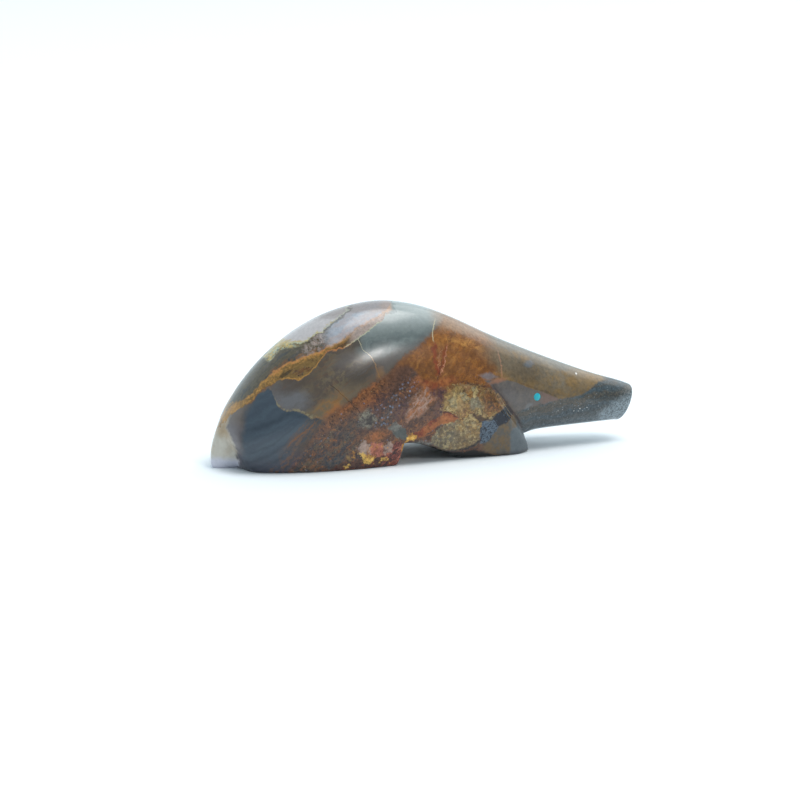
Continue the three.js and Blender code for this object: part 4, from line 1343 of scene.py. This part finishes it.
def makeTurquoise(pieces, look):
    # two blues in clouds with a few dark seams
    bench = startMaterial("turquoise_inlay", pieces)
    place = bench.scaled(bench.add("TexCoord").outputs["Object"], 1 / millimetre)
    clouds = bench.fade(bench.noise(place, *look["cloudiness"]), *look["greenFrom"])
    colour = bench.blend(clouds, linear(look["blue"]), linear(look["green"]))
    seams = bench.fade(bench.noise(place, *look["seamNoise"], distortion=1), *look["seamFrom"])
    seams = bench.math("MULTIPLY", seams, look["seamStrength"])
    colour = bench.blend(seams, colour, linear(look["matrix"]))
    finishPolished(bench, place, colour, look["grainContrast"], look)


makeTurquoise(list(eyes.values()), turquoiseLook)
print("stage 7: the eyes are turquoise")


# The studio: a wide pale floor, a big soft light overhead in front, a small one to the right.
studio = {
    "floorSize": 12, "floorColour": (0.875, 0.91, 0.94), "floorRoughness": 0.7, "floorShine": 0.2,
    "sky": (0.79, 0.93, 1.0), "skyBehind": 1.38, "skyInFront": 0.45, "skyOverhead": 0.6,
    "brightWay": (0.3, 0.9, 0.2), "brightFrom": (-0.35, 0.5), "overheadFrom": (0.2, 0.8),
    "softLights": {
        "overhead_softbox": {"turn": 72, "rise": 73, "away": 3.0, "size": (1.65, 1.5), "power": 50},
        "side_softbox": {"turn": 115, "rise": 42, "away": 3.0, "size": (2.1, 1.5), "power": 13},
        "window_light": {"turn": 21, "rise": 31, "away": 0.9, "size": (0.17, 0.05), "power": 1.1},
    },
    "lamp": (1.0, 0.98, 0.96), "lampAim": (0, 0, 0.015),
}


def makeFloor(s):
    # a plain square on the ground
    half = s["floorSize"] / 2
    corners = np.array([(-half, -half, 0), (half, -half, 0), (half, half, 0), (-half, half, 0)])
    mesh = bpy.data.meshes.new("studio_floor")
    mesh.from_pydata(corners.tolist(), [], [(0, 1, 2, 3)])
    floor = bpy.data.objects.new("studio_floor", mesh)
    bpy.context.scene.collection.objects.link(floor)
    bench = startMaterial("studio_floor", [floor])
    finishMaterial(bench, bench.add("BsdfPrincipled", {
        "Base Color": (*s["floorColour"], 1), "Roughness": s["floorRoughness"],
        "Specular IOR Level": s["floorShine"],
    }))


def makeSoftLight(name, s, l):
    # a rectangle on a sphere round the carving, facing its middle
    turn, rise = math.radians(l["turn"]), math.radians(l["rise"])
    aim = Vector(s["lampAim"])
    way = Vector((math.sin(turn) * math.cos(rise), -math.cos(turn) * math.cos(rise), math.sin(rise)))
    data = bpy.data.lights.new(name, "AREA")
    data.shape = "RECTANGLE"
    data.size, data.size_y = l["size"]
    data.energy = l["power"]
    data.color = s["lamp"]
    light = bpy.data.objects.new(name, data)
    light.location = aim + way * l["away"]
    light.rotation_euler = (-way).to_track_quat("-Z", "Y").to_euler()
    bpy.context.scene.collection.objects.link(light)


def makeSky(s):
    # bright low behind, less overhead, and dim in front, so the near flank mirrors little
    world = bpy.data.worlds.new("studio_sky")
    bpy.context.scene.world = world
    world.use_nodes = True
    world.node_tree.nodes.clear()
    bench = NodeBench(world.node_tree)
    way = bench.add("TexCoord").outputs["Generated"]
    behind = bench.fade(bench.vector("DOT_PRODUCT", way, s["brightWay"]), *s["brightFrom"])
    rise = bench.vector("DOT_PRODUCT", way, (0, 0, 1))
    high = bench.fade(rise, *s["overheadFrom"], 1, s["skyOverhead"])
    share = bench.math("MULTIPLY", behind, high)
    strength = bench.math("MULTIPLY_ADD", share, s["skyBehind"] - s["skyInFront"], s["skyInFront"])
    sky = bench.add("Background", {"Color": (*s["sky"], 1), "Strength": strength})
    output = bench.add("OutputWorld")
    bench.tree.links.new(sky.outputs[0], output.inputs["Surface"])


makeFloor(studio)
for name, light in studio["softLights"].items():
    makeSoftLight(name, studio, light)
makeSky(studio)
bpy.context.scene.view_settings.view_transform = "Standard"
print("stage 8: the studio is lit")


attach(carving, "root")
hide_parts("carving")
for name, eye in eyes.items():
    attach(eye, "root")
    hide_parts(name)
